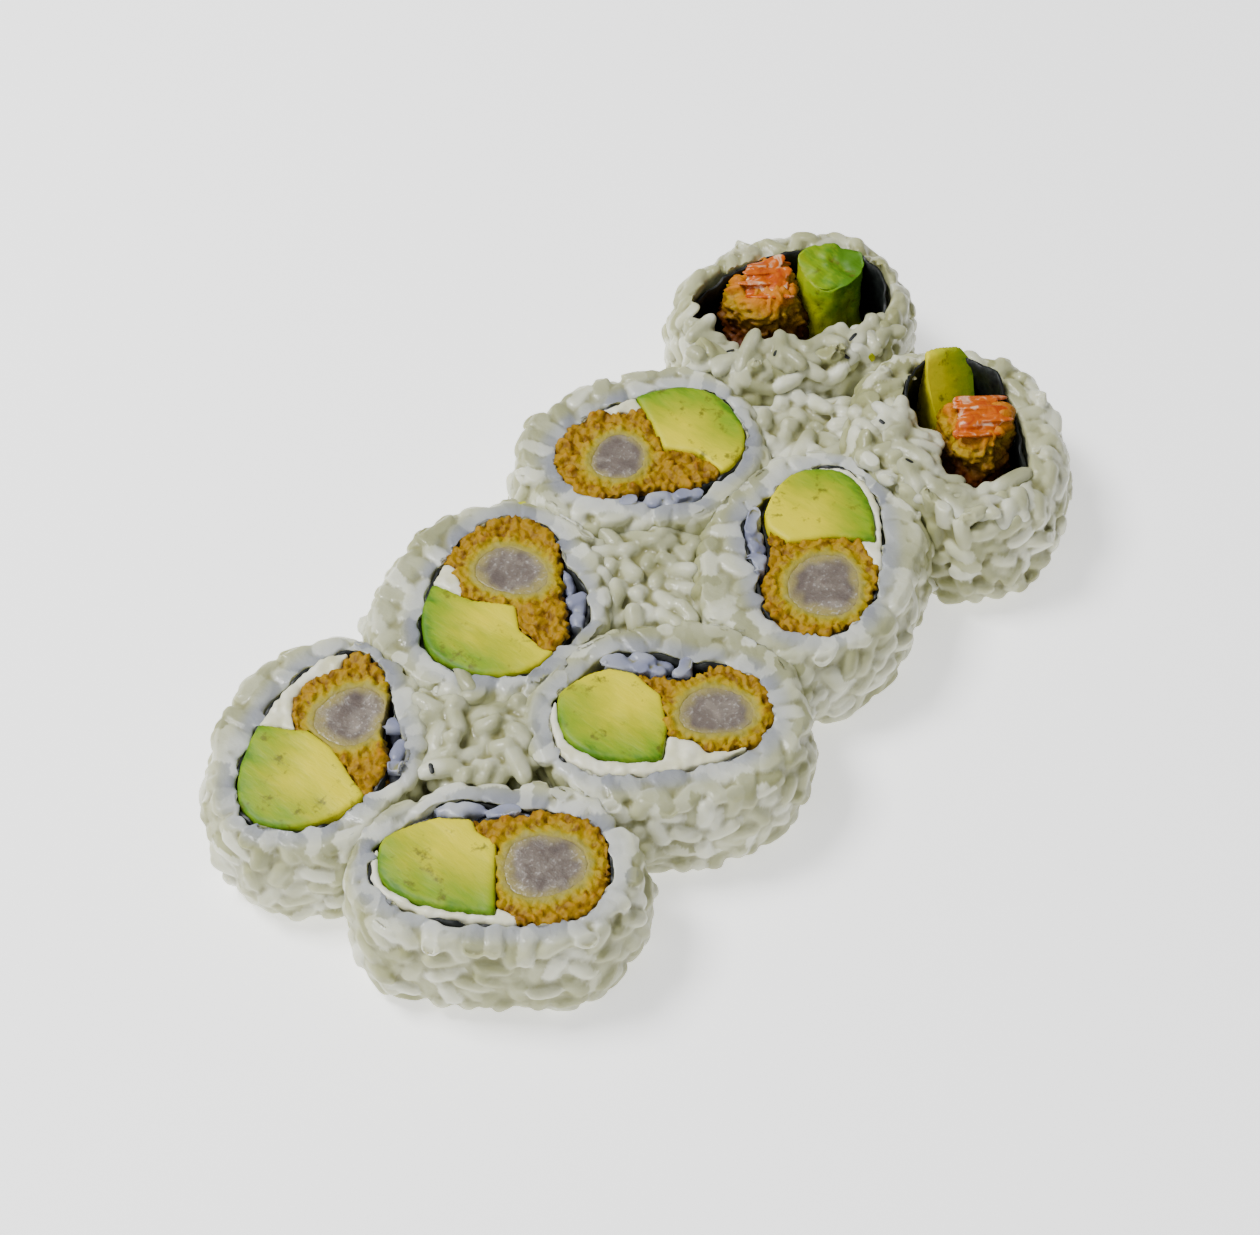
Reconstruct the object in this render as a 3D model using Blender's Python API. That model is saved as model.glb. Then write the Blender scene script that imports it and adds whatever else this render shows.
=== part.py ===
"""Uramaki roll with prawn in crumbs, avocado and cream cheese, cut into eight slices.

The slices lie on a cut face in two rows of four, pushed together as the roll was cut. +X runs along
the rows, +Z is up, and the origin is under the middle of the block, on the surface that it rests on.
Each slice is a rice ring round a sheet of nori, which is wound round the fillings. The two slices at
the +X end are the ragged ends of the roll, where the fillings stand in an open cup of nori.
"""
import math
import random

import bmesh
import bpy
import numpy as np
from mathutils import Matrix, Vector

MM = 0.001
RNG = random.Random(57)

# Driving sizes, in millimetres
PITCH = 45.0             # from one slice to the next along a row
ROW_OFFSET = 20.5        # from the middle of the block to the middle of a row
HEIGHT = 21.0            # thickness of a slice
NORI_THICKNESS = 0.5
NORI_SHORT = 0.4         # the nori ends this far below the cut face, and starts this far above z = 0
GAP = 0.3                # left between neighbouring solids
WALL = 3.6               # the least rice outside the nori, before its side is rounded
THIN_WALL = 1.3          # the same where two slices are pressed together
RICE_GROWTH = 0.7        # squeezed rice, cut off again where two slices meet
GRAIN_HALF = (3.7, 1.65, 1.4)
GRAIN_SINK = 0.35        # share of a grain's half thickness by which its middle is sunk in the side
GRAIN_SIZES = (0.85, 1.1)
RELIEF = 0.55            # bumps on the side of a ring, each about a grain in size

# How far each food's top stands above the cut face
TOPS = {"avocado": 0.3, "prawn": 0.2, "batter": -0.1, "cheese": -0.3, "seam_rice": -0.3}

# Working values of the modelling: a cutter reaches PAST beyond what it cuts, and further by its order
# where cutters meet. FAR is outside the whole roll. The last two clean up after the cuts.
PAST = 5.0
FAR = 60.0
NEIGHBOUR = 1.6          # slices nearer than this many pitches share out the space between them
WELD = 0.005
SLIVER = 0.004

# Counts
RING_COLUMNS = 32
RING_SQUARENESS = 2.25
NEAR_ANGLE = 17.0        # the rice swells this many degrees to either side of where the nori is near
WRAP_POINTS = 32
CUP_POINTS = 24
SEAM_POINTS = 6
FLESH_POINTS = 16

# Levels of a ring's side: height as a share of HEIGHT, and how far it lies inside the outline in mm.
# The lowest and the highest lie past the knife's cuts.
RING_LEVELS = ((-0.06, 1.3), (0.14, -0.7), (0.42, -1.2), (0.72, -0.6), (0.93, 0.8), (1.04, 3.0))

# The seam, where the nori's outer edge laps over its inner edge with rice between them
SEAM_HALF = 0.30         # half its width, in radians round the wrap
SEAM_BULGE = 1.1

# The ends of the roll
CUP_FLOOR = 9.0          # height of the nori folded across the cup
CUP_FLOOR_THICKNESS = 0.8
FOOT = 0.5               # a filling starts to lean this far above the cup's floor
STICK_FORMS = {"stick": (3.2, 12), "crumbed": (2.2, 20)}    # squareness, and points round it
AVOCADO_STICK_TOP = HEIGHT + 1.0
CRUMBED_SHOULDER = HEIGHT - 5.0
CRUMBED_TOP = HEIGHT + 1.5
CRUMBED_TAPER = 0.8      # its top is this share as wide as its shoulder
END_HEADROOM = 10.0      # space above the cut faces that the tallest grains and fillings stay in
# The tail's lobes: offset in x and y, and half its length, width and thickness. Each is turned further
# and lies higher than the one before.
TAIL_LOBES = ((0, 0, 4.6, 3.2, 1.8), (-1.8, 1.4, 3.4, 2.2, 2.3), (1.6, -1.6, 3.6, 2.0, 2.0))
LOBE_TURN = 35.0
LOBE_STEP = 0.4

# Each slice. "nudge" moves it off the even grid, "turn" is the way from its avocado to its prawn, and
# a mirrored slice shows its other cut face. Inside, x runs towards the prawn and y towards the seam.
# "ring" is the rice: its middle from the wrap's middle, its half axes, and its turn.
# "wrap" is the nori's inner outline: middle, half axes, squareness, taper to +x, lean and tilt.
# "seam" is its place in degrees, how far the inner edge dips and how far the outer edge stands off.
# "avocado" is the cut line from its crown to its heel, "skin" how far cheese lifts it off the nori.
# "flesh" is the prawn's middle, half axes and turn. "cheese" is the top line of the cheese under it.
SLICES = [
    dict(name="slice1", row=1, place=0, nudge=(-0.6, -0.2), turn=27, mirrored=True,
         ring=((-1.0, 0.7), (22.3, 17.6), 32),
         wrap=((1.2, 0.0), (18.7, 12.1), 2.1, 0.22, 0.26, -5), seam=(97, 1.4, 2.6),
         avocado=[(-8.5, 10.5), (-0.5, 2.2), (1.7, -2.5), (0.9, -13)], skin=(0.0, 0.0),
         flesh=((6.6, 3.6), (5.8, 5.4), 20),
         cheese=[(2, -4.6), (7, -7.2), (12.5, -5.4), (15.5, -1.5), (21, 0)]),
    dict(name="slice2", row=1, place=1, nudge=(-2.5, -2.0), turn=23, mirrored=True,
         ring=((-0.5, 0.9), (23.6, 20.3), 10),
         wrap=((1.1, 0.5), (18.6, 12.7), 2.3, 0.2, 0.0, -8), seam=(84, 1.0, 3.0),
         avocado=[(-8.8, 12), (-5.8, 6.2), (-1.0, 4.0), (-2.2, -3.5), (-0.6, -12)], skin=(0.0, 0.0),
         flesh=((6.6, 0.8), (4.6, 6.6), 8), cheese=[(-1.6, -5.2), (4.6, -9.2), (4.8, -14)]),
    dict(name="slice3", row=1, place=2, nudge=(-0.1, 0.9), turn=160, mirrored=False,
         ring=((-1.4, 2.0), (24.0, 18.6), -22),
         wrap=((0.8, 0.8), (18.5, 12.5), 2.5, 0.1, 0.0, -7), seam=(80, 1.4, 3.2),
         avocado=[(-7.5, 13), (-6.0, 7.0), (-1.2, 2.8), (-2.4, -3.5), (-3.4, -12)], skin=(0.0, 0.0),
         flesh=((7.6, 0.6), (5.0, 4.6), 35), cheese=[(-3.2, -7.6), (4.4, -9.8), (5.0, -14)]),
    dict(name="slice4", row=1, place=3, nudge=(0.2, 3.1), turn=154, mirrored=False,
         ring=((0.2, -1.2), (24.1, 20.1), -27),
         wrap=((-0.6, 0.4), (20.2, 12.2), 2.4, 0.0, 0.0, -8), rim=(0.8, 2.4, 10),
         stick=((-10.7, -2.3), (5.2, 4.6), 12), crumbed=((3.2, -3.4), (7.0, 6.4), 10),
         lean=(-0.10, -0.20)),
    dict(name="slice5", row=-1, place=0, nudge=(0.5, 1.4), turn=-47, mirrored=False,
         ring=((1.0, -0.1), (24.0, 16.4), -48),
         wrap=((-0.5, 0.1), (19.8, 10.8), 2.6, -0.16, 0.0, -3), seam=(94, 1.2, 2.4),
         avocado=[(-4.5, 12), (-3.0, 6.8), (0.3, 4.2), (-0.3, -12)], skin=(0.9, 1.2),
         flesh=((8.3, -0.5), (6.3, 5.7), 0), cheese=[(0.0, -6.6), (3.4, -9.6), (3.6, -14)]),
    dict(name="slice6", row=-1, place=1, nudge=(-3.7, -0.4), turn=-38, mirrored=False,
         ring=((1.8, -0.3), (24.7, 20.2), -41),
         wrap=((0.2, 0.1), (19.4, 11.5), 2.5, 0.06, 0.0, -4), seam=(91, 3.6, 3.0),
         avocado=[(-5.0, 13), (1.0, 4.4), (0.4, -3.0), (-3.2, -13)], skin=(1.7, 2.3),
         flesh=((9.6, -1.0), (5.8, 4.6), -15),
         cheese=[(0, -4.0), (4.8, -5.4), (6.2, -8.6), (13, -8.8), (20, -7)]),
    dict(name="slice7", row=-1, place=2, nudge=(-1.3, 0.8), turn=-142, mirrored=True,
         ring=((-1.5, 1.3), (24.9, 20.2), 16),
         wrap=((-0.8, 0.0), (20.2, 11.5), 2.3, 0.0, 0.14, 2), seam=(97, 2.0, 2.6),
         avocado=[(-7.5, 12), (-2.0, 5.8), (-3.6, -3.0), (-2.6, -13)], skin=(0.8, 1.1),
         flesh=((8.0, -0.7), (6.5, 6.3), 0), cheese=[(-3.4, -6.6), (4.6, -10.8), (5.0, -14)]),
    dict(name="slice8", row=-1, place=3, nudge=(-4.6, -1.0), turn=-120, mirrored=False,
         ring=((-3.0, -1.2), (24.0, 21.3), 38),
         wrap=((1.2, 0.5), (17.9, 10.8), 2.3, 0.0, 0.0, -9), rim=(0.6, 1.8, 150),
         stick=((-12.0, 3.5), (5.4, 4.4), -4), crumbed=((2.2, 2.2), (6.4, 5.8), 15),
         lean=(-0.12, 0.06)),
]

# How many loose grains are fused on a ring's side, and on the rim of an end slice
SIDE_GRAINS = 9
END_SIDE_GRAINS = 10
RIM_GRAINS = 10
SIDE_BAND = (0.3, 0.45)  # where side grains lie: the lowest, and the band's height, as shares of HEIGHT
GOLDEN = 0.618           # steps of this share spread their heights evenly
RIM_INSETS = (3.0, 5.4)  # rim grains lie this far inside the ring's outline

# Colours of the real foods, as sRGB values
COLOURS = {
    "rice": (0.80, 0.81, 0.77), "nori": (0.03, 0.035, 0.03), "seam_rice": (0.62, 0.66, 0.76),
    "avocado": (0.66, 0.72, 0.30), "prawn": (0.66, 0.60, 0.63), "batter": (0.74, 0.56, 0.16),
    "cheese": (0.92, 0.92, 0.86), "tail": (0.88, 0.50, 0.22),
}
ROUGHNESS = {"rice": 0.35, "nori": 0.45, "seam_rice": 0.35, "avocado": 0.4, "prawn": 0.3,
             "batter": 0.75, "cheese": 0.5, "tail": 0.4}


def clear_scene():
    for obj in list(bpy.data.objects):
        bpy.data.objects.remove(obj, do_unlink=True)


def collection(name):
    made = bpy.data.collections.new(name)
    bpy.context.scene.collection.children.link(made)
    return made


def material(name):
    if name in bpy.data.materials:
        return bpy.data.materials[name]
    made = bpy.data.materials.new(name)
    made.use_nodes = True
    shader = made.node_tree.nodes["Principled BSDF"]
    linear = [((c + 0.055) / 1.055) ** 2.4 if c > 0.04045 else c / 12.92 for c in COLOURS[name]]
    shader.inputs["Base Color"].default_value = (*linear, 1.0)
    shader.inputs["Roughness"].default_value = ROUGHNESS[name]
    shader.inputs["Metallic"].default_value = 0.0
    return made


def smoothstep(value):
    value = np.clip(value, 0.0, 1.0)
    return value * value * (3.0 - 2.0 * value)


def rotated(points, degrees):
    a = math.radians(degrees)
    return np.asarray(points) @ np.array([[math.cos(a), math.sin(a)], [-math.sin(a), math.cos(a)]])


def superellipse(angles, half, power):
    c, s = np.cos(angles), np.sin(angles)
    x = half[0] * np.sign(c) * np.abs(c) ** (2.0 / power)
    y = half[1] * np.sign(s) * np.abs(s) ** (2.0 / power)
    return np.stack([x, y], 1)


def even_angles(count):
    return np.arange(count) * (2.0 * math.pi / count)


def wrap_outline(piece, angles, offset):
    """Points of the nori's inner outline, each moved out by its offset in mm."""
    middle, half, power, taper, lean, tilt = piece["wrap"]

    def at(a):
        p = superellipse(a, half, power)
        p[:, 1] *= 1.0 - taper * p[:, 0] / half[0]
        p[:, 0] += lean * p[:, 1]
        return rotated(p, tilt) + np.array(middle)

    step = 0.04
    along = at(angles + step) - at(angles - step)
    along /= np.linalg.norm(along, axis=1)[:, None]
    outward = np.stack([along[:, 1], -along[:, 0]], 1)
    return at(angles) + outward * np.reshape(offset, (-1, 1))


def seam_place(piece, angles):
    """Where an angle lies in the seam: -1 at the inner edge's end, +1 at the outer edge's end."""
    centre = math.radians(piece["seam"][0])
    return (np.remainder(angles - centre + math.pi, 2.0 * math.pi) - math.pi) / SEAM_HALF


def inner_layer(piece, u):
    """Offset of the nori's inner face where the outer edge laps over it."""
    dip = piece["seam"][1]
    return -dip * (1.0 - smoothstep((u + 1.0) / 2.0)) - SEAM_BULGE * np.clip(1.0 - u * u, 0.0, 1.0)


def outer_layer(piece, u):
    rise = piece["seam"][2]
    return rise * smoothstep((u + 1.0) / 2.0) + SEAM_BULGE * np.clip(1.0 - u * u, 0.0, 1.0)


def seam_angles(piece):
    """Angles round the wrap, close together in the seam and even in the rest."""
    centre = math.radians(piece["seam"][0])
    lap = centre + np.linspace(-1.0, 1.0, SEAM_POINTS) * SEAM_HALF
    rest = np.linspace(lap[-1], lap[0] + 2.0 * math.pi, WRAP_POINTS - SEAM_POINTS)[1:-1]
    return lap, rest


def filling_outline(piece):
    """The space inside the nori, with its gap."""
    if "seam" not in piece:
        return wrap_outline(piece, even_angles(CUP_POINTS), np.full(CUP_POINTS, -GAP))
    lap, rest = seam_angles(piece)
    before = -piece["seam"][1] * smoothstep((seam_place(piece, rest) + 1.9) / 0.5)
    dipped = np.where(seam_place(piece, rest) < 0.0, before, 0.0)
    offset = np.concatenate([inner_layer(piece, seam_place(piece, lap)), dipped]) - GAP
    return wrap_outline(piece, np.concatenate([lap, rest]), offset)


def hole_outline(piece):
    """The hole in the rice, round the nori's outer face."""
    if "seam" not in piece:
        return wrap_outline(piece, even_angles(CUP_POINTS), np.full(CUP_POINTS, NORI_THICKNESS + GAP))
    lap, rest = seam_angles(piece)
    after = piece["seam"][2] * (1.0 - smoothstep((seam_place(piece, rest) - 1.4) / 0.5))
    raised = np.where(seam_place(piece, rest) > 0.0, after, 0.0)
    offset = np.concatenate([outer_layer(piece, seam_place(piece, lap)), raised]) + NORI_THICKNESS + GAP
    return wrap_outline(piece, np.concatenate([lap, rest]), offset)


def nori_outline(piece):
    """A strip wound once round the fillings, from under the seam to over it."""
    lap, rest = seam_angles(piece)
    u = seam_place(piece, lap)
    angles = np.concatenate([lap, rest, lap + 2.0 * math.pi])
    offset = np.concatenate([inner_layer(piece, u), np.zeros(len(rest)), outer_layer(piece, u)])
    inside = wrap_outline(piece, angles, offset)
    outside = wrap_outline(piece, angles, offset + NORI_THICKNESS)
    return np.concatenate([outside, inside[::-1]])


def seam_rice_outline(piece):
    """The rice between the nori's two layers, at the same places round the wrap."""
    lap, _ = seam_angles(piece)
    u = seam_place(piece, lap)
    below = wrap_outline(piece, lap, inner_layer(piece, u) + NORI_THICKNESS + GAP)
    above = wrap_outline(piece, lap, outer_layer(piece, u) - GAP)
    return np.concatenate([below, above[::-1]])


def place_of(piece):
    x = PITCH * (piece["place"] - 1.5) + piece["nudge"][0]
    y = ROW_OFFSET * piece["row"] + piece["nudge"][1]
    return np.array([x, y])


def slice_matrix(piece):
    """From the inside of a slice, in mm, to the block."""
    turn = Matrix.Rotation(math.radians(piece["turn"]), 4, "Z")
    flip = Matrix.Diagonal((1.0, -1.0 if piece["mirrored"] else 1.0, 1.0, 1.0))
    at = Matrix.Translation((*place_of(piece), 0.0))
    return at @ turn @ flip


def prism_mesh(name, outline, bottom, top):
    bm = bmesh.new()
    corners = [bm.verts.new((float(x), float(y), bottom)) for x, y in outline]
    base = bm.faces.new(corners)
    raised = bmesh.ops.extrude_face_region(bm, geom=[base])["geom"]
    verts = [v for v in raised if isinstance(v, bmesh.types.BMVert)]
    bmesh.ops.translate(bm, verts=verts, vec=(0.0, 0.0, top - bottom))
    bmesh.ops.recalc_face_normals(bm, faces=bm.faces[:])
    mesh = bpy.data.meshes.new(name)
    bm.to_mesh(mesh)
    bm.free()
    return mesh


def solid(name, mesh, matrix=None):
    """A new object whose mesh is in the block's place, in mm, facing out."""
    if matrix is not None:
        mesh.transform(matrix)
        if matrix.determinant() < 0:
            mesh.flip_normals()
    obj = bpy.data.objects.new(name, mesh)
    bpy.context.scene.collection.objects.link(obj)
    return obj


def prism(name, piece, outline, bottom, top):
    return solid(name, prism_mesh(name, outline, bottom, top), slice_matrix(piece))


def cutter(name, piece, outline, top, order=0):
    """A prism that reaches past the bottom and past a top level."""
    return prism(name, piece, outline, -PAST - order, top + PAST + order)


def discard(obj):
    mesh = obj.data
    bpy.data.objects.remove(obj, do_unlink=True)
    bpy.data.meshes.remove(mesh)


def apply_modifiers(obj):
    graph = bpy.context.evaluated_depsgraph_get()
    mesh = bpy.data.meshes.new_from_object(obj.evaluated_get(graph))
    old = obj.data
    obj.modifiers.clear()
    obj.data = mesh
    bpy.data.meshes.remove(old)


def combine(obj, operation, other):
    """Boolean of an object with another one, which is then removed."""
    modifier = obj.modifiers.new(operation.lower(), "BOOLEAN")
    modifier.operation = operation
    modifier.solver = "EXACT"
    modifier.object = other
    apply_modifiers(obj)
    discard(other)
    return obj


def fuse(obj, grains):
    """Unites loose grains, which may cross each other, with the solid that they lie on."""
    loose = collection("loose grains")
    for grain in grains:
        bpy.context.scene.collection.objects.unlink(grain)
        loose.objects.link(grain)
    modifier = obj.modifiers.new("fuse", "BOOLEAN")
    modifier.operation = "UNION"
    modifier.solver = "MANIFOLD"
    modifier.operand_type = "COLLECTION"
    modifier.collection = loose
    apply_modifiers(obj)
    for grain in grains:
        discard(grain)
    bpy.data.collections.remove(loose)
    return obj


def shell_volume(faces):
    total = 0.0
    for face in faces:
        first = face.verts[0].co
        for i in range(1, len(face.verts) - 1):
            total += first.dot(face.verts[i].co.cross(face.verts[i + 1].co)) / 6.0
    return total


def keep_largest(obj):
    """Keeps the largest body, so that no scrap or sealed hollow is left, and welds its corners."""
    bm = bmesh.new()
    bm.from_mesh(obj.data)
    bmesh.ops.remove_doubles(bm, verts=bm.verts[:], dist=WELD)
    bmesh.ops.dissolve_degenerate(bm, dist=SLIVER, edges=bm.edges[:])
    waiting = set(bm.faces)
    shells = []
    while waiting:
        first = waiting.pop()
        shell, front = [first], [first]
        while front:
            face = front.pop()
            for edge in face.edges:
                for near in edge.link_faces:
                    if near in waiting:
                        waiting.remove(near)
                        shell.append(near)
                        front.append(near)
        shells.append(shell)
    shells.sort(key=shell_volume, reverse=True)
    spare = [face for shell in shells[1:] for face in shell]
    bmesh.ops.delete(bm, geom=spare, context="FACES")
    bmesh.ops.triangulate(bm, faces=bm.faces[:])
    bm.to_mesh(obj.data)
    bm.free()
    return obj


def ring_middle(piece):
    return place_of(piece) + np.array(piece["ring"][0])


def placed_hole(piece):
    """The hole in the rice, in the block's place."""
    matrix = slice_matrix(piece)
    return np.array([(matrix @ Vector((x, y, 0.0)))[:2] for x, y in hole_outline(piece)])


def ring_outline(piece, inset):
    """The rice's outer outline, from its middle: an oval, swollen where the nori comes near it."""
    _, half, turn = piece["ring"]
    angles = even_angles(RING_COLUMNS)
    grown = (half[0] + RICE_GROWTH, half[1] + RICE_GROWTH)
    oval = rotated(superellipse(angles, grown, RING_SQUARENESS), turn)
    reach = np.linalg.norm(oval, axis=1)
    direction = oval / reach[:, None]
    hole = placed_hole(piece) - ring_middle(piece)
    spread = direction @ (hole / np.linalg.norm(hole, axis=1)[:, None]).T
    near = np.where(spread > math.cos(math.radians(NEAR_ANGLE)), np.linalg.norm(hole, axis=1), 0.0)
    least = near.max(axis=1) + WALL
    reach = np.maximum(reach, least) - inset
    return direction * reach[:, None]


def support(piece, direction):
    """How far a rice ring, and the hole in it, reach from the ring's middle in a direction."""
    ring = float((ring_outline(piece, 0.0) @ direction).max())
    hole = float(((placed_hole(piece) - ring_middle(piece)) @ direction).max())
    return ring, hole + THIN_WALL


def clip_outline(outline, point, normal):
    """The part of a convex outline that lies behind a line."""
    kept = []
    side = (outline - point) @ normal
    for i in range(len(outline)):
        j = (i + 1) % len(outline)
        if side[i] <= 0.0:
            kept.append(outline[i])
        if (side[i] < 0.0) != (side[j] < 0.0) and side[i] != side[j]:
            kept.append(outline[i] + (outline[j] - outline[i]) * side[i] / (side[i] - side[j]))
    return np.array(kept)


def cell_outline(piece):
    """The space that a slice has to itself, parted from its neighbours midway in their overlap."""
    middle = ring_middle(piece)
    outline = middle + np.array([(-FAR, -FAR), (FAR, -FAR), (FAR, FAR), (-FAR, FAR)])
    for other in SLICES:
        if other is piece:
            continue
        line = ring_middle(other) - middle
        distance = float(np.linalg.norm(line))
        if distance > NEIGHBOUR * PITCH:
            continue
        direction = line / distance
        near, least = support(piece, direction)
        far, other_least = support(other, -direction)
        parting = min(max(distance * near / (near + far), least), distance - other_least) - 0.5 * GAP
        outline = clip_outline(outline, middle + parting * direction, direction)
    return outline


def rice_barrel(piece):
    """The ring before its hole: a rounded block with bumps about a grain in size on its side."""
    end = "rim" in piece
    low, high, highest = piece["rim"] if end else (0.0, 0.0, 0.0)
    bm = bmesh.new()
    loops = []
    for number, (share, inset) in enumerate(RING_LEVELS):
        loop = []
        for x, y in ring_outline(piece, inset):
            out = np.array([x, y]) / math.hypot(x, y)
            relief = RNG.uniform(-RELIEF, RELIEF) if 0 < number else 0.0
            z = share * HEIGHT
            if 0 < number < len(RING_LEVELS) - 1:
                z += RNG.uniform(-RELIEF, RELIEF)
            if end and number >= 3:
                wave = 0.5 + 0.5 * math.cos(math.atan2(y, x) - math.radians(highest))
                z += (share - 0.5) * 2.0 * (low + (high - low) * wave + RNG.uniform(-RELIEF, RELIEF))
            side = np.array([x, y]) + out * relief + ring_middle(piece)
            loop.append(bm.verts.new((*side, z)))
        loops.append(loop)
    for lower, upper in zip(loops, loops[1:]):
        for k in range(RING_COLUMNS):
            j = (k + 1) % RING_COLUMNS
            bm.faces.new((lower[k], lower[j], upper[j], upper[k]))
    bm.faces.new(loops[0][::-1])
    bm.faces.new(loops[-1])
    bmesh.ops.triangulate(bm, faces=bm.faces[:])
    bmesh.ops.recalc_face_normals(bm, faces=bm.faces[:])
    mesh = bpy.data.meshes.new(piece["name"])
    bm.to_mesh(mesh)
    bm.free()
    return solid(piece["name"] + "_rice", mesh)


def grain(at, along, out):
    """A rice grain with its middle at a point, lying along a direction, its thin side facing out."""
    along = along.normalized()
    side = out.cross(along).normalized()
    up = along.cross(side)
    size = RNG.uniform(*GRAIN_SIZES)
    turn = Matrix((along, side, up)).transposed().to_4x4()
    bm = bmesh.new()
    bmesh.ops.create_uvsphere(bm, u_segments=5, v_segments=4, radius=1.0)
    stand = Matrix.Rotation(math.radians(90.0), 4, "Y")
    stretch = Matrix.Diagonal((*[h * size for h in GRAIN_HALF], 1.0))
    bm.transform(Matrix.Translation(at) @ turn @ stretch @ stand)
    mesh = bpy.data.meshes.new("grain")
    bm.to_mesh(mesh)
    bm.free()
    return solid("grain", mesh)


def side_inset(z):
    """How far the side lies inside the ring's outline at a height."""
    shares, insets = zip(*RING_LEVELS)
    return float(np.interp(z / HEIGHT, shares, insets))


def side_grains(piece, count):
    """Grains that show on the side, spread evenly round the ring and sunk in it."""
    grains = []
    for k in range(count):
        column = int((k + RNG.uniform(0.2, 0.8)) * RING_COLUMNS / count) % RING_COLUMNS
        z = HEIGHT * (SIDE_BAND[0] + SIDE_BAND[1] * ((k * GOLDEN) % 1.0))
        inset = side_inset(z) + GRAIN_HALF[2] * GRAIN_SINK
        x, y = ring_outline(piece, inset)[column]
        out = Vector((x, y, 0.0)).normalized()
        level = Vector((-out.y, out.x, 0.0))
        tip = RNG.uniform(-0.9, 0.9)
        along = level * math.cos(tip) + Vector((0.0, 0.0, 1.0)) * math.sin(tip)
        middle = ring_middle(piece)
        grains.append(grain(Vector((x + middle[0], y + middle[1], z)), along, out))
    return grains


def rim_grains(piece, count):
    """Grains that stand up from the rim of an end slice, leaning over its rice."""
    low, high, highest = piece["rim"]
    grains = []
    for k in range(count):
        column = int((k + RNG.uniform(0.2, 0.8)) * RING_COLUMNS / count) % RING_COLUMNS
        x, y = ring_outline(piece, RNG.uniform(*RIM_INSETS))[column]
        wave = 0.5 + 0.5 * math.cos(math.atan2(y, x) - math.radians(highest))
        out = Vector((x, y, 0.0)).normalized()
        level = Vector((-out.y, out.x, 0.0))
        tip = RNG.uniform(0.2, 1.0)
        along = (level * RNG.choice((-1.0, 1.0)) + out * RNG.uniform(-0.6, 0.6)).normalized()
        along = along * math.cos(tip) + Vector((0.0, 0.0, 1.0)) * math.sin(tip)
        face = Vector((0.0, 0.0, 1.0)) + out * 0.5
        middle = ring_middle(piece)
        z = HEIGHT + low + (high - low) * wave - 0.3
        grains.append(grain(Vector((x + middle[0], y + middle[1], z)), along, face))
    return grains


def make_rice(piece):
    end = "rim" in piece
    obj = rice_barrel(piece)
    grains = side_grains(piece, END_SIDE_GRAINS if end else SIDE_GRAINS)
    if end:
        grains += rim_grains(piece, RIM_GRAINS)
    fuse(obj, grains)
    top = HEIGHT + (END_HEADROOM if end else 0.0)
    cell = solid("cell", prism_mesh("cell", cell_outline(piece), 0.0, top))
    combine(obj, "INTERSECT", cell)
    combine(obj, "DIFFERENCE", cutter("hole", piece, hole_outline(piece), HEIGHT + END_HEADROOM))
    return keep_largest(obj)


def make_nori(piece):
    name = piece["name"] + "_nori"
    obj = prism(name, piece, nori_outline(piece), NORI_SHORT, HEIGHT - NORI_SHORT)
    return keep_largest(obj)


def make_seam_rice(piece):
    name = piece["name"] + "_seam_rice"
    return keep_largest(prism(name, piece, seam_rice_outline(piece), 0.0, HEIGHT + TOPS["seam_rice"]))


def avocado_side(piece, gap):
    """The side of the cut line where the avocado lies, grown by a gap."""
    line = [(x + gap, y) for x, y in piece["avocado"]]
    return [(line[0][0], FAR), (-FAR, FAR), (-FAR, -FAR), (line[-1][0], -FAR)] + line[::-1]


def above_cheese(piece, gap):
    """The space above the cheese's top line, grown by a gap."""
    line = [(x, y - gap) for x, y in piece["cheese"]]
    return [(-FAR, line[0][1]), *line, (FAR, line[-1][1]), (FAR, FAR), (-FAR, FAR)]


def lifted_outline(piece, gap):
    """The wrap's outline, moved in with the avocado's skin where cheese lies behind it."""
    outline = wrap_outline(piece, even_angles(WRAP_POINTS), np.full(WRAP_POINTS, gap - GAP))
    return outline + np.array(piece["skin"])


def make_avocado(piece):
    top = HEIGHT + TOPS["avocado"]
    obj = prism(piece["name"] + "_avocado", piece, filling_outline(piece), 0.0, top)
    combine(obj, "INTERSECT", cutter("side", piece, avocado_side(piece, 0.0), top))
    if any(piece["skin"]):
        combine(obj, "INTERSECT", cutter("skin", piece, lifted_outline(piece, 0.0), top, 1))
    return keep_largest(obj)


def flesh_outline(piece, gap=0.0):
    middle, half, turn = piece["flesh"]
    angles = even_angles(FLESH_POINTS)
    wobble = 1.0 + 0.05 * np.cos(3.0 * angles + piece["place"]) + 0.04 * np.sin(2.0 * angles + 1.0)
    outline = superellipse(angles, (half[0] + gap, half[1] + gap), 2.2) * wobble[:, None]
    return rotated(outline, turn) + np.array(middle)


def make_prawn(piece):
    top = HEIGHT + TOPS["prawn"]
    return keep_largest(prism(piece["name"] + "_prawn", piece, flesh_outline(piece), 0.0, top))


def make_batter(piece):
    top = HEIGHT + TOPS["batter"]
    obj = prism(piece["name"] + "_batter", piece, filling_outline(piece), 0.0, top)
    combine(obj, "DIFFERENCE", cutter("side", piece, avocado_side(piece, 1.5 * GAP), top))
    combine(obj, "INTERSECT", cutter("above", piece, above_cheese(piece, 0.0), top, 1))
    combine(obj, "DIFFERENCE", cutter("flesh", piece, flesh_outline(piece, GAP), top, 2))
    return keep_largest(obj)


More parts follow.
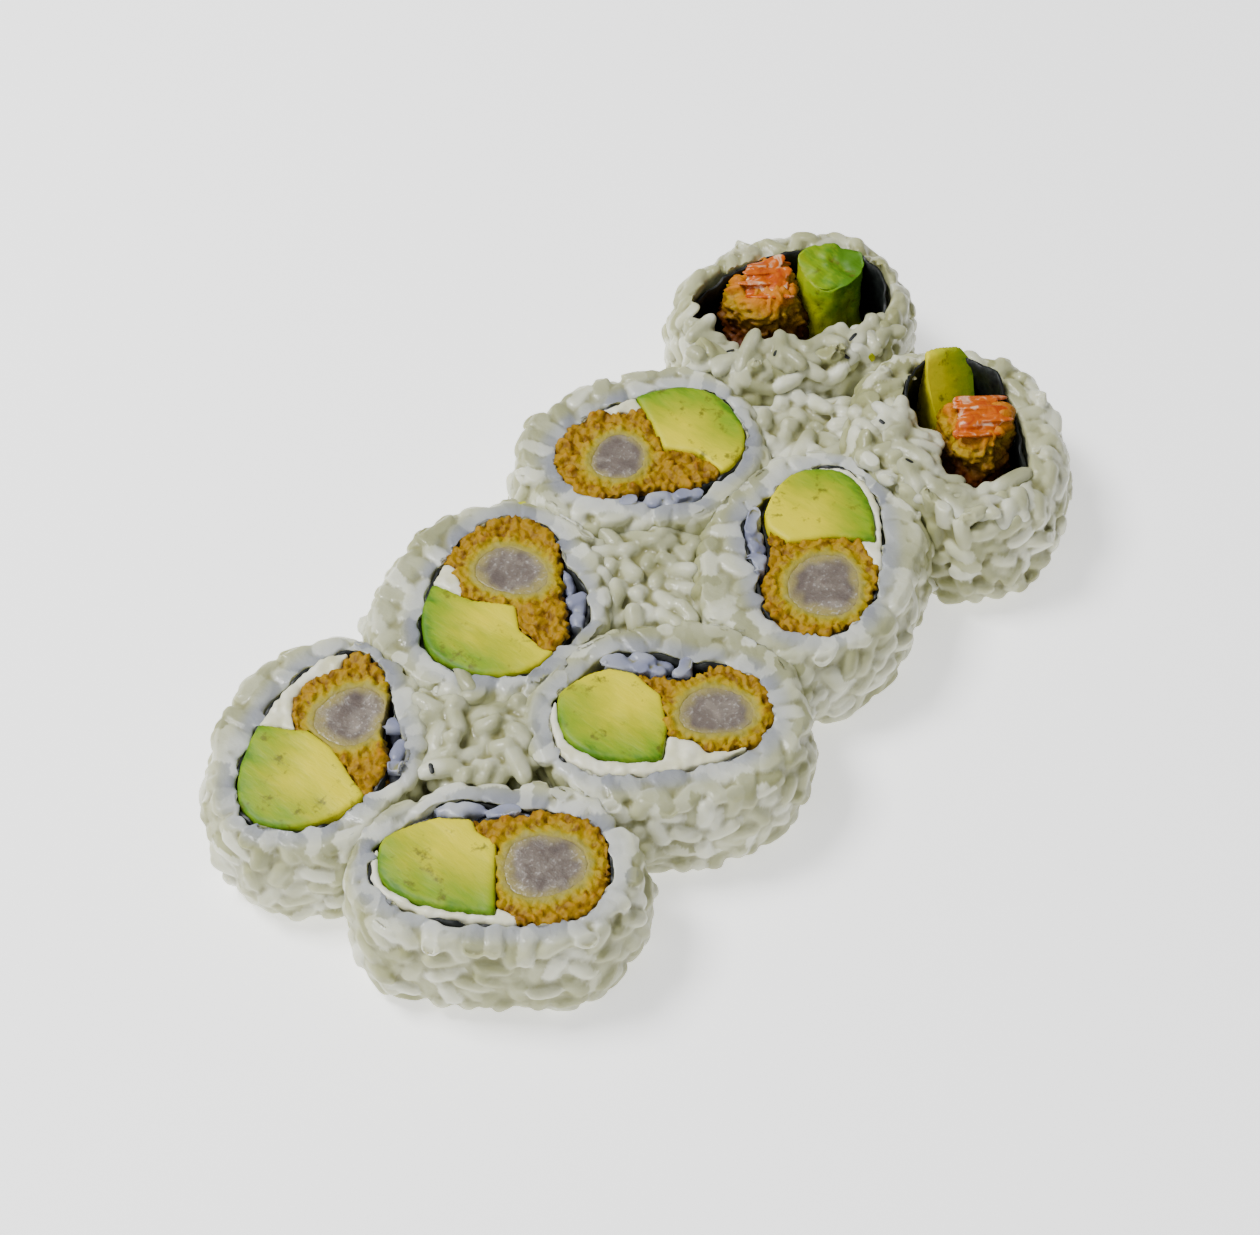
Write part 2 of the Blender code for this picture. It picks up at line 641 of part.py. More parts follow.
def make_cheese(piece):
    top = HEIGHT + TOPS["cheese"]
    obj = prism(piece["name"] + "_cheese", piece, filling_outline(piece), 0.0, top)
    avocado = cutter("avocado", piece, lifted_outline(piece, GAP), top)
    combine(avocado, "INTERSECT", cutter("side", piece, avocado_side(piece, 1.5 * GAP), top, 1))
    combine(obj, "DIFFERENCE", avocado)
    batter = cutter("batter", piece, above_cheese(piece, 1.5 * GAP), top, 2)
    combine(batter, "DIFFERENCE", cutter("side", piece, avocado_side(piece, 0.0), top, 3))
    combine(obj, "DIFFERENCE", batter)
    return keep_largest(obj)


def stick_outline(piece, key, gap=0.0):
    """The outline of an end slice's avocado stick or crumbed prawn, grown by a gap."""
    middle, half, turn = piece[key]
    power, count = STICK_FORMS[key]
    outline = superellipse(even_angles(count), (half[0] + gap, half[1] + gap), power)
    return rotated(outline, turn) + np.array(middle)


def lean_stick(obj, piece, start):
    """Leans the part of a stick that stands above the cup's floor."""
    direction = slice_matrix(piece).to_3x3() @ Vector((*piece["lean"], 0.0))
    for vert in obj.data.vertices:
        rise = max(0.0, vert.co.z - start)
        vert.co.x += direction.x * rise
        vert.co.y += direction.y * rise


def make_cup(piece):
    """The nori of an end slice: a standing sheet, folded across under the open cup."""
    angles = even_angles(CUP_POINTS)
    outside = wrap_outline(piece, angles, np.full(CUP_POINTS, NORI_THICKNESS))
    obj = prism(piece["name"] + "_nori", piece, outside, NORI_SHORT, HEIGHT)
    inside = wrap_outline(piece, angles, np.zeros(CUP_POINTS))
    combine(obj, "DIFFERENCE", prism("above", piece, inside, CUP_FLOOR, HEIGHT + PAST))
    combine(obj, "DIFFERENCE", prism("below", piece, inside, -PAST, CUP_FLOOR - CUP_FLOOR_THICKNESS))
    for key in STICK_FORMS:
        combine(obj, "DIFFERENCE", cutter(key, piece, stick_outline(piece, key, GAP), HEIGHT, 1))
    return keep_largest(obj)


def make_end_fillings(piece):
    """What stands in the cup of an end slice, each food by its slot's name."""
    name = piece["name"]
    foot = CUP_FLOOR + FOOT
    stick = prism(name + "_avocado", piece, stick_outline(piece, "stick"), 0.0, foot)
    crumbed = prism(name + "_batter", piece, stick_outline(piece, "crumbed"), 0.0, foot)
    for obj, levels in ((stick, (AVOCADO_STICK_TOP,)), (crumbed, (CRUMBED_SHOULDER, CRUMBED_TOP))):
        bm = bmesh.new()
        bm.from_mesh(obj.data)
        for number, level in enumerate(levels):
            top = max(bm.faces, key=lambda face: face.calc_center_median().z)
            base = top.calc_center_median().z
            moved = bmesh.ops.extrude_face_region(bm, geom=[top])["geom"]
            verts = [v for v in moved if isinstance(v, bmesh.types.BMVert)]
            bmesh.ops.delete(bm, geom=[top], context="FACES_ONLY")
            bmesh.ops.translate(bm, verts=verts, vec=(0.0, 0.0, level - base))
            if number:
                centre = sum((v.co for v in verts), Vector()) / len(verts)
                taper = (CRUMBED_TAPER, CRUMBED_TAPER, 1.0)
                bmesh.ops.scale(bm, verts=verts, vec=taper, space=Matrix.Translation(-centre))
        bm.to_mesh(obj.data)
        bm.free()
        lean_stick(obj, piece, foot)
        inside = cutter("inside", piece, filling_outline(piece), HEIGHT + END_HEADROOM)
        keep_largest(combine(obj, "INTERSECT", inside))
    tail = make_tail(piece)
    below_floor = CUP_FLOOR - CUP_FLOOR_THICKNESS - GAP
    cheese = prism(name + "_cheese", piece, filling_outline(piece), 0.0, below_floor)
    for key in STICK_FORMS:
        combine(cheese, "DIFFERENCE", cutter(key, piece, stick_outline(piece, key, GAP), HEIGHT, 1))
    keep_largest(cheese)
    return {"avocado": stick, "batter": crumbed, "tail": tail, "cheese": cheese}


def make_tail(piece):
    """The bare flesh at the tail, folded in lobes on top of the crumbed stick."""
    middle, _, turn = piece["crumbed"]
    base = CRUMBED_TOP + GAP
    lift = base - CUP_FLOOR - FOOT
    at = np.array(middle) + np.array(piece["lean"]) * lift
    lobes = []
    for k, (dx, dy, long, wide, thick) in enumerate(TAIL_LOBES):
        bm = bmesh.new()
        bmesh.ops.create_uvsphere(bm, u_segments=10, v_segments=6, radius=1.0)
        turned = Matrix.Rotation(math.radians(turn + LOBE_TURN * k), 4, "Z")
        size = Matrix.Diagonal((long, wide, thick, 1.0))
        place = Matrix.Translation((at[0] + dx, at[1] + dy, base + LOBE_STEP * k))
        bm.transform(place @ turned @ size)
        mesh = bpy.data.meshes.new("lobe")
        bm.to_mesh(mesh)
        bm.free()
        lobes.append(solid("lobe", mesh, slice_matrix(piece)))
    tail = lobes[0]
    tail.name = piece["name"] + "_prawn"
    for lobe in lobes[1:]:
        combine(tail, "UNION", lobe)
    above = prism("above", piece, filling_outline(piece), base, base + END_HEADROOM)
    combine(tail, "INTERSECT", above)
    return keep_largest(tail)


def make_slice(piece, roll):
    parts = {"rice": make_rice(piece)}
    if "rim" in piece:
        parts["nori"] = make_cup(piece)
        parts.update(make_end_fillings(piece))
    else:
        parts["nori"] = make_nori(piece)
        parts["seam_rice"] = make_seam_rice(piece)
        parts["avocado"] = make_avocado(piece)
        parts["prawn"] = make_prawn(piece)
        parts["batter"] = make_batter(piece)
        parts["cheese"] = make_cheese(piece)
    for kind, obj in parts.items():
        obj.data.materials.clear()
        obj.data.materials.append(material(kind))
        bpy.context.scene.collection.objects.unlink(obj)
        roll.objects.link(obj)
        obj.data.shade_flat()


def settle_on_origin(objects):
    """Turns millimetres into metres and puts the origin under the middle of the block."""
    corners = np.array([v.co for obj in objects for v in obj.data.vertices])
    low, high = corners.min(axis=0), corners.max(axis=0)
    middle = (low + high) / 2.0
    move = Matrix.Translation((-middle[0], -middle[1], -low[2]))
    for obj in objects:
        obj.data.transform(Matrix.Scale(MM, 4) @ move)


def main():
    clear_scene()
    roll = collection("uramaki roll")
    for piece in SLICES:
        make_slice(piece, roll)
    settle_on_origin(roll.objects)
    for obj in roll.objects:
        print(obj.name, len(obj.data.polygons))
    print("triangles", sum(len(obj.data.polygons) for obj in roll.objects))


main()
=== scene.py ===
# %% [markdown]
# An inside-out roll, cut into eight slices that stand in two rows. Sticky rice is
# on the outside, a sheet of nori lies inside it, and the nori holds avocado, a
# breaded prawn and soft cheese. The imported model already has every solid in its
# place, so this lesson keeps that frame and gives each solid its real surface.

# %% Load the solid model
import math

import bmesh
import bpy
import numpy as np
from mathutils import Matrix, Vector
from mathutils.bvhtree import BVHTree
from mathutils.kdtree import KDTree


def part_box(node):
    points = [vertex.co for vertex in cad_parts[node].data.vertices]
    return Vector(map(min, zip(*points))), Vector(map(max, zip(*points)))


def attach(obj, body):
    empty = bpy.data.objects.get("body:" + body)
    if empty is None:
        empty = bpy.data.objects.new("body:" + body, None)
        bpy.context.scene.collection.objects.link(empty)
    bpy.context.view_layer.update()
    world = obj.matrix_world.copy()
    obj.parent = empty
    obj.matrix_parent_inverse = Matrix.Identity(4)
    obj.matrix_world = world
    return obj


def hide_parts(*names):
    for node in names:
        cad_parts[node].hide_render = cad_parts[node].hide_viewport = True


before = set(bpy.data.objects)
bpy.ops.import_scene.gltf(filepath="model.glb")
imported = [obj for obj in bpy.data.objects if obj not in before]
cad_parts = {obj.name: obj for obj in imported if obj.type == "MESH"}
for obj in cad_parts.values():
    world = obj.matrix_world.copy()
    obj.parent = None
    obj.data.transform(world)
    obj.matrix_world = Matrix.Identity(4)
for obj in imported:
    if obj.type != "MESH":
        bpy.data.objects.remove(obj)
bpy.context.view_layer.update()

# %% [markdown]
# All sizes below are in millimetres, as a cook would give them, and MM turns them
# into Blender's metres. Each slice has its own frame: the turn says how far the
# slice is turned on the table, and a mirrored slice shows its other cut face.

# %% Sizes and the eight slices
MM = 0.001
HEIGHT = 21.0
SLICES = (
    dict(name="slice1", turn=27, mirrored=True),
    dict(name="slice2", turn=23, mirrored=True),
    dict(name="slice3", turn=160, mirrored=False),
    dict(name="slice4", turn=154, mirrored=False, end=True),
    dict(name="slice5", turn=-47, mirrored=False),
    dict(name="slice6", turn=-38, mirrored=False),
    dict(name="slice7", turn=-142, mirrored=True),
    dict(name="slice8", turn=-120, mirrored=False, end=True),
)


def slice_axes(piece):
    """The slice's own x and y directions on the table."""
    turn = math.radians(piece["turn"])
    flip = -1.0 if piece["mirrored"] else 1.0
    return (np.array([math.cos(turn), math.sin(turn), 0.0]),
            flip * np.array([-math.sin(turn), math.cos(turn), 0.0]))


print("slices:", ", ".join(piece["name"] for piece in SLICES))

# %% [markdown]
# The camera comes early, so that every later choice can be judged from it. The
# photograph looks down at the roll from about 52 degrees, with the two rows running
# away to the upper right. A longish lens at 0.4 m gives the same mild perspective.

# %% Camera
ELEVATION, AZIMUTH, DISTANCE = math.radians(52), math.radians(-50), 0.4
TARGET = Vector((-0.0135, -0.0020, 0.0210))
camera = bpy.data.objects.new("camera", bpy.data.cameras.new("camera"))
camera.data.lens = 64
camera.data.sensor_width = 36
camera.data.clip_start = 0.01
AWAY = np.array([-math.sin(AZIMUTH), math.cos(AZIMUTH), 0.0])
RIGHT = np.array([math.cos(AZIMUTH), math.sin(AZIMUTH), 0.0])
camera.location = (TARGET - Vector(AWAY) * DISTANCE * math.cos(ELEVATION)
                   + Vector((0.0, 0.0, DISTANCE * math.sin(ELEVATION))))
camera.rotation_euler = (math.pi / 2 - ELEVATION, 0.0, AZIMUTH)
bpy.context.scene.collection.objects.link(camera)
bpy.context.scene.camera = camera
print("camera at", [round(v, 3) for v in camera.location])

# %% [markdown]
# A few helpers do the repeated work. Colours are written as sRGB hex, as a colour
# picker shows them, and one function turns them into the linear values that
# Blender mixes. One function adds a shader node with its settings and its links.

# %% Colour and node helpers


def linear(code):
    """An sRGB hex colour as linear red, green, blue and alpha."""
    parts = [int(code[i:i + 2], 16) / 255.0 for i in (0, 2, 4)]
    return tuple(v / 12.92 if v <= 0.04045 else ((v + 0.055) / 1.055) ** 2.4 for v in parts) + (1.0,)


def add(tree, kind, inputs=None, stops=None, **settings):
    """One node: its settings, its colour stops if it is a ramp, and each input linked or set."""
    node = tree.nodes.new("ShaderNode" + kind)
    for key, value in settings.items():
        setattr(node, key, value)
    for number, (place, colour) in enumerate(stops or ()):
        elements = node.color_ramp.elements
        element = elements[number] if number < 2 else elements.new(place)
        element.position = place
        element.color = colour
    for socket, value in (inputs or {}).items():
        if isinstance(value, bpy.types.NodeSocket):
            tree.links.new(value, node.inputs[socket])
        else:
            node.inputs[socket].default_value = value
    return node


def lump(size):
    """The scale of a noise whose lumps are about this many mm across."""
    return 1.0 / (size * MM)


def new_material(name):
    """An empty material with only its output, and its node tree."""
    made = bpy.data.materials.new(name)
    made.use_nodes = True
    for node in list(made.node_tree.nodes):
        if node.type != "OUTPUT_MATERIAL":
            made.node_tree.nodes.remove(node)
    return made, made.node_tree


def close(tree, shader):
    """Joins the finished shader to the material's output."""
    output = next(node for node in tree.nodes if node.type == "OUTPUT_MATERIAL")
    tree.links.new(shader.outputs[0], output.inputs["Surface"])


print("mid grey 808080 is", round(linear("808080")[0], 3), "in linear light")

# %% [markdown]
# The mesh helpers work on all the points of a mesh at once. A smooth random field,
# which has one value at each point in space, gives food its unevenness. Averaging
# each point with its neighbours softens a shape, and the difference between a
# shape and its softened self says where the creases are.

# %% Mesh helpers


def points_of(mesh):
    """Every vertex of a mesh, in mm."""
    flat = np.empty(len(mesh.vertices) * 3)
    mesh.vertices.foreach_get("co", flat)
    return flat.reshape(-1, 3) / MM


def put_points(mesh, points):
    """Moves every vertex of a mesh to a place in mm."""
    mesh.vertices.foreach_set("co", (points * MM).ravel())
    mesh.update()


def normals_of(mesh):
    """The outward direction at every vertex of a mesh."""
    flat = np.empty(len(mesh.vertices) * 3)
    mesh.vertices.foreach_get("normal", flat)
    return flat.reshape(-1, 3)


def soften(mesh, points, rounds, share=0.5):
    """Moves each point a share of the way to the middle of its neighbours, a number of times."""
    flat = np.empty(len(mesh.edges) * 2, dtype=np.int64)
    mesh.edges.foreach_get("vertices", flat)
    first, second = flat.reshape(-1, 2).T
    count = len(points)
    degree = np.bincount(first, minlength=count) + np.bincount(second, minlength=count)
    for _ in range(rounds):
        total = np.stack([np.bincount(first, points[second, k], count)
                          + np.bincount(second, points[first, k], count) for k in range(3)], axis=1)
        points = points + share * (total / degree[:, None] - points)
    return points


def field(points, size, seed):
    """A smooth random value from -1 to 1 at each point; size is the mm between its lumps."""
    table = np.random.default_rng(seed).uniform(-1.0, 1.0, 4096)
    place = points / size + 1000.0
    cell = np.floor(place).astype(np.int64)
    part = place - cell
    part = part * part * (3.0 - 2.0 * part)
    total = np.zeros(len(points))
    for corner in range(8):
        step = np.array([corner & 1, corner >> 1 & 1, corner >> 2 & 1])
        key = (cell + step) * np.array([73856093, 19349663, 83492791])
        value = table[(key[:, 0] ^ key[:, 1] ^ key[:, 2]) % 4096]
        weight = np.where(step == 1, part, 1.0 - part).prod(axis=1)
        total += value * weight
    return total


def rise(value, low, high):
    """0 below low, 1 above high, and a smooth step between."""
    t = np.clip((value - low) / (high - low), 0.0, 1.0)
    return t * t * (3.0 - 2.0 * t)


def keep_value(mesh, name, values):
    """Stores one number at each point, for a material to read."""
    attribute = mesh.attributes.new(name, "FLOAT", "POINT")
    attribute.data.foreach_set("value", values.astype(np.float32))


def solid_of(node):
    """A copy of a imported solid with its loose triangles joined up."""
    bm = bmesh.new()
    bm.from_mesh(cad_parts[node].data)
    bmesh.ops.remove_doubles(bm, verts=bm.verts, dist=0.002 * MM)
    return bm


def object_from(bm, name):
    """Turns a bmesh into an object of the scene, at the origin."""
    mesh = bpy.data.meshes.new(name)
    bm.to_mesh(mesh)
    bm.free()
    obj = bpy.data.objects.new(name, mesh)
    bpy.context.scene.collection.objects.link(obj)
    return obj


def fuse(obj, voxel):
    """Replaces the mesh by one even skin round everything in it; voxel is the skin's mesh size, mm."""
    modifier = obj.modifiers.new("Fuse", "REMESH")
    modifier.mode = "VOXEL"
    modifier.voxel_size = voxel * MM
    seen = obj.evaluated_get(bpy.context.evaluated_depsgraph_get())
    mesh = bpy.data.meshes.new_from_object(seen)
    obj.modifiers.clear()
    old = obj.data
    obj.data = mesh
    bpy.data.meshes.remove(old)
    return obj


def finish(obj, material, slot, *nodes):
    """Smooth shading, material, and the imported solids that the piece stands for."""
    obj.data.materials.clear()
    obj.data.materials.append(material)
    obj.data.polygons.foreach_set("use_smooth", np.ones(len(obj.data.polygons), dtype=bool))
    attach(obj, "root")
    if nodes:
        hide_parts(*nodes)
    return obj


def dress(make, seed, ends=True):
    """Makes one layer on every slice, or on all but the two ends, each with its own seed."""
    for number, piece in enumerate(SLICES):
        if ends or not piece.get("end"):
            made = make(piece, seed + 10 * number)
            print(made.name, len(made.data.polygons), "faces")


def rest_on_table(points, gap=0.05):
    """Lifts the points that fell below the table; gap is in mm."""
    points[:, 2] = np.maximum(points[:, 2], gap)


print("helpers ready")

# %% [markdown]
# The table is a plain pale surface, and the light is soft, as from a large window
# above and behind the roll: the cut faces are the brightest, and the rice sides
# that face the camera stay greyer.

# %% Floor and light
bm = bmesh.new()
bmesh.ops.create_grid(bm, x_segments=1, y_segments=1, size=2.0)
floor = object_from(bm, "floor")
floor_paint, tree = new_material("white matt table top")
close(tree, add(tree, "BsdfPrincipled", {"Base Color": linear("FDFDFD"), "Roughness": 0.8,
                                         "Emission Color": linear("FFFFFF"), "Emission Strength": 1.0}))
floor.data.materials.append(floor_paint)


def softbox(name, azimuth, elevation, distance, size, power):
    """A square soft light that faces the roll from a compass angle and a height, degrees."""
    light = bpy.data.objects.new(name, bpy.data.lights.new(name, "AREA"))
    light.data.shape = "SQUARE"
    light.data.size = size
    light.data.energy = power
    a, e = math.radians(azimuth), math.radians(elevation)
    towards = Vector((math.cos(a) * math.cos(e), math.sin(a) * math.cos(e), math.sin(e)))
    light.location = towards * distance
    light.rotation_euler = towards.to_track_quat("Z", "Y").to_euler()
    bpy.context.scene.collection.objects.link(light)


softbox("window", 118, 60, 1.0, 0.32, 13.0)
softbox("fill", -175, 40, 1.2, 0.8, 3.6)
world = bpy.data.worlds.new("studio")
world.use_nodes = True
world.node_tree.nodes["Background"].inputs["Color"].default_value = linear("F4F6FA")
world.node_tree.nodes["Background"].inputs["Strength"].default_value = 0.26
bpy.context.scene.world = world

# %% [markdown]
# Cooked sushi rice is a translucent, sticky starch gel. Where the knife passed it is
# smooth, wet and bluish. Between the grains its colour is painted a darker olive, as
# painted shade in the creases. The material reads three values that the rice pieces
# store: how far a point lies in a crease, how far it is on the cut face, and a small
# tint that differs from grain to grain.

# %% Cooked sushi rice
rice_gel, tree = new_material("cooked sushi rice")
crease = add(tree, "Attribute", attribute_name="crease").outputs["Fac"]
cut = add(tree, "Attribute", attribute_name="cut").outputs["Fac"]
tint = add(tree, "Attribute", attribute_name="tint").outputs["Fac"]
place = add(tree, "TexCoord").outputs["Object"]
cloud = add(tree, "TexNoise", {"Vector": place, "Scale": lump(11.11), "Detail": 2.0}).outputs["Fac"]
mixed = add(tree, "MapRange", {"Value": cloud, "From Min": 0.3, "From Max": 0.7, "To Min": -0.3,
                               "To Max": 0.3}).outputs["Result"]
shade = add(tree, "Math", {0: tint, 1: mixed}, operation="ADD", use_clamp=True).outputs[0]
side_colour = add(tree, "ValToRGB", {"Fac": shade}, stops=(
    (0.0, linear("9A9B6C")), (1.0, linear("DCDDC6")), (0.5, linear("B8B992")))).outputs["Color"]
cut_colour = add(tree, "ValToRGB", {"Fac": shade}, stops=(
    (0.0, linear("80849C")), (1.0, linear("C8CAC6")), (0.5, linear("A0A4B0")))).outputs["Color"]
skin_colour = add(tree, "Mix", {"Factor": cut, "A": side_colour, "B": cut_colour},
                  data_type="RGBA").outputs["Result"]
# Painted shade: the further a point lies in a crease, the more its colour is mixed towards dark olive
# 848252.
painted_crease_shade = add(tree, "MapRange", {"Value": crease, "From Min": 0.0, "From Max": 0.26}).outputs["Result"]
rice_colour = add(tree, "Mix", {"Factor": painted_crease_shade, "A": skin_colour, "B": linear("848252")},
                  data_type="RGBA").outputs["Result"]
wet = add(tree, "TexNoise", {"Vector": place, "Scale": lump(1.11), "Detail": 4.0}).outputs["Fac"]
bump = add(tree, "Bump", {"Height": wet, "Strength": 0.5, "Distance": 0.3 * MM}).outputs["Normal"]
close(tree, add(tree, "BsdfPrincipled", {
    "Base Color": rice_colour, "Roughness": 0.5, "Normal": bump, "IOR": 1.4, "Coat Weight": 0.45,
    "Coat Roughness": 0.14, "Coat IOR": 1.38, "Coat Normal": bump,
    "Subsurface Weight": 0.6, "Subsurface Radius": (1.0, 0.95, 0.7), "Subsurface Scale": 2.0 * MM}))
print("rice material:", len(tree.nodes), "nodes")

# %% [markdown]
# A slice's rice is some three hundred grains, each about 7.5 mm long after cooking,
# pressed together by the rolling mat. One grain is a ball, stretched and a little
# bent, and a few bends are enough for the eye. Each grain covers a row of three
# spots, and a new grain is laid only where its spots keep clear of the others, so
# that most grains show whole, as they do on the real roll.

# %% One grain, and where grains may lie
GRAIN_HALF = (3.25, 1.75, 1.5)
GRAIN_BENDS = (0.0, 0.12, -0.12, 0.28)
# The mesh size of each skin, mm: finer where the real surface has finer detail
RICE_VOXEL, CORE_VOXEL, CRUST_VOXEL, PRAWN_VOXEL, TAIL_VOXEL = 0.45, 0.8, 0.38, 0.4, 0.25
AVOCADO_VOXEL, CHEESE_VOXEL = 0.45, 0.44
SPOTS = np.array([-1.9, 0.0, 1.9])
grain_shapes = []
for bend in GRAIN_BENDS:
    bm = bmesh.new()
    bmesh.ops.create_icosphere(bm, subdivisions=3, radius=1.0)
    for vert in bm.verts:
        blunt = math.sqrt(1.0 + vert.co.x ** 2) / 1.06
        vert.co.y *= blunt
        vert.co.z *= blunt
        vert.co.y += bend * (vert.co.x ** 2 - 0.5)
        vert.co.z += 0.15 * bend * vert.co.x
    shape = bpy.data.meshes.new("grain")
    bm.to_mesh(shape)
    bm.free()
    grain_shapes.append(shape)


def add_grain(bm, shape, at, along, out, half):
    """Adds one grain: its long axis lies along the surface, its flat side faces out."""
    side = np.cross(out, along)
    side /= np.linalg.norm(side)
    along = np.cross(side, out)
    out = out / np.linalg.norm(out)
    rows = [(*row, 0.0) for row in np.stack([along, side, out], axis=1)]
    turn = Matrix(rows + [(0.0, 0.0, 0.0, 1.0)])
    size = Matrix.Diagonal((half[0] * MM, half[1] * MM, half[2] * MM, 1.0))
    whole = Matrix.Translation(Vector(at) * MM) @ turn @ size
    shape.transform(whole)
    bm.from_mesh(shape)
    shape.transform(whole.inverted())


def surface_points(mesh, count, rng):
    """Even random places on a mesh's surface, with their normals."""
    mesh.calc_loop_triangles()
    points = points_of(mesh)
    flat = np.empty(len(mesh.loop_triangles) * 3, dtype=np.int64)
    mesh.loop_triangles.foreach_get("vertices", flat)
    a, b, c = (points[k] for k in flat.reshape(-1, 3).T)
    cross = np.cross(b - a, c - a)
    area = np.linalg.norm(cross, axis=1)
    pick = rng.choice(len(area), count, p=area / area.sum())
    u, v = rng.random(count), rng.random(count)
    over = u + v > 1.0
    u[over], v[over] = 1.0 - u[over], 1.0 - v[over]
    places = a[pick] + u[:, None] * (b - a)[pick] + v[:, None] * (c - a)[pick]
    return places, cross[pick] / area[pick][:, None]


def lay_grains(places, outward, apart, rng, taken, tries=5, level=99.0):
    """Chooses places and directions whose spots keep clear of the spots already taken.

    Above the height called level, in mm, the grains lie more nearly flat."""
    laid = []
    for place, out in zip(places, outward):
        near = taken[:, :2] - place[:2] if len(taken) else taken
        close_by = taken[np.abs(near).max(axis=1) < 8.0] if len(taken) else taken
        for _ in range(tries):
            along = np.cross(out, rng.normal(size=3))
            along[2] *= 0.3 if place[2] > level else 1.0
            along /= np.linalg.norm(along)
            spots = place + SPOTS[:, None] * along
            gaps = np.linalg.norm(close_by[:, None, :] - spots[None, :, :], axis=2)
            if gaps.size == 0 or gaps.min() > apart:
                taken = np.concatenate([taken, spots])
                laid.append((place, along, out))
                break
    return laid, taken


print("grain:", [2 * v for v in GRAIN_HALF], "mm,", len(grain_shapes), "bends")

# %% [markdown]
# The grains lie on a core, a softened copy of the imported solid, a little smaller
# than it. A second, deeper layer fills the places that the first left bare. The
# Remesh modifier then draws one skin round the core and all the grains, which rounds
# the valleys as starch does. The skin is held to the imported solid, so that slices
# still only touch.

# %% Rice of each slice
LAYERS = (dict(apart=2.8, sunk=1.35), dict(apart=1.9, sunk=1.9))
CUT_SUNK = 1.0
END_RIM_TOP, END_RIM_SOFT = 26.0, 1.4
RICE_TRIES, CORNER_TRIES, SEAM_TRIES = 9000, 7000, 900


def hold_below(points, top, soft):
    """Bends the points near or above a height in mm back under it; soft is how early it starts."""
    over = np.maximum(points[:, 2] - top + soft, 0.0)
    points[:, 2] += soft * np.tanh(over / soft) - over


def hold_to_solid(points, tree, reach):
    """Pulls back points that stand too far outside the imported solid; reach is the most, mm."""
    held = points.copy()
    for number, point in enumerate(points):
        place = Vector(point) * MM
        spot, normal, _, _ = tree.find_nearest(place)
        gap = (place - spot).dot(normal) / MM
        if gap > 0.0:
            kept = reach[number] * (1.0 - math.exp(-gap / reach[number]))
            held[number] += np.array(normal) * (kept - gap)
    return held


def distances(points, tree):
    """How far each point is from a packed surface, and the nearest point there, mm."""
    found = [tree.find_nearest(Vector(point) * MM) for point in points]
    return (np.array([hit[3] for hit in found]) / MM,
            np.array([hit[0][:] for hit in found]) / MM)


def packed_tree(*nodes):
    """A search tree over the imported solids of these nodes."""
    bm = bmesh.new()
    for node in nodes:
        bm.from_mesh(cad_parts[node].data)
    tree = BVHTree.FromBMesh(bm)
    bm.free()
    return tree


def spill_at(points, piece):
    """Where the rice was smeared over the nori's edge by the knife, from 0 to 1."""
    return rise(field(points * (1.0, 1.0, 0.0), 4.0, 50 + SLICES.index(piece)), -0.45, 0.15)


def store_rice_values(mesh, cut, tint):
    """Stores what the rice material reads: the creases, for painted shade, the cut face and the grains'
    tint.
    """
    points = points_of(mesh)
    wide = soften(mesh, points, 16)
    keep_value(mesh, "crease", ((wide - points) * normals_of(mesh)).sum(axis=1))
    keep_value(mesh, "cut", cut)
    keep_value(mesh, "tint", tint)


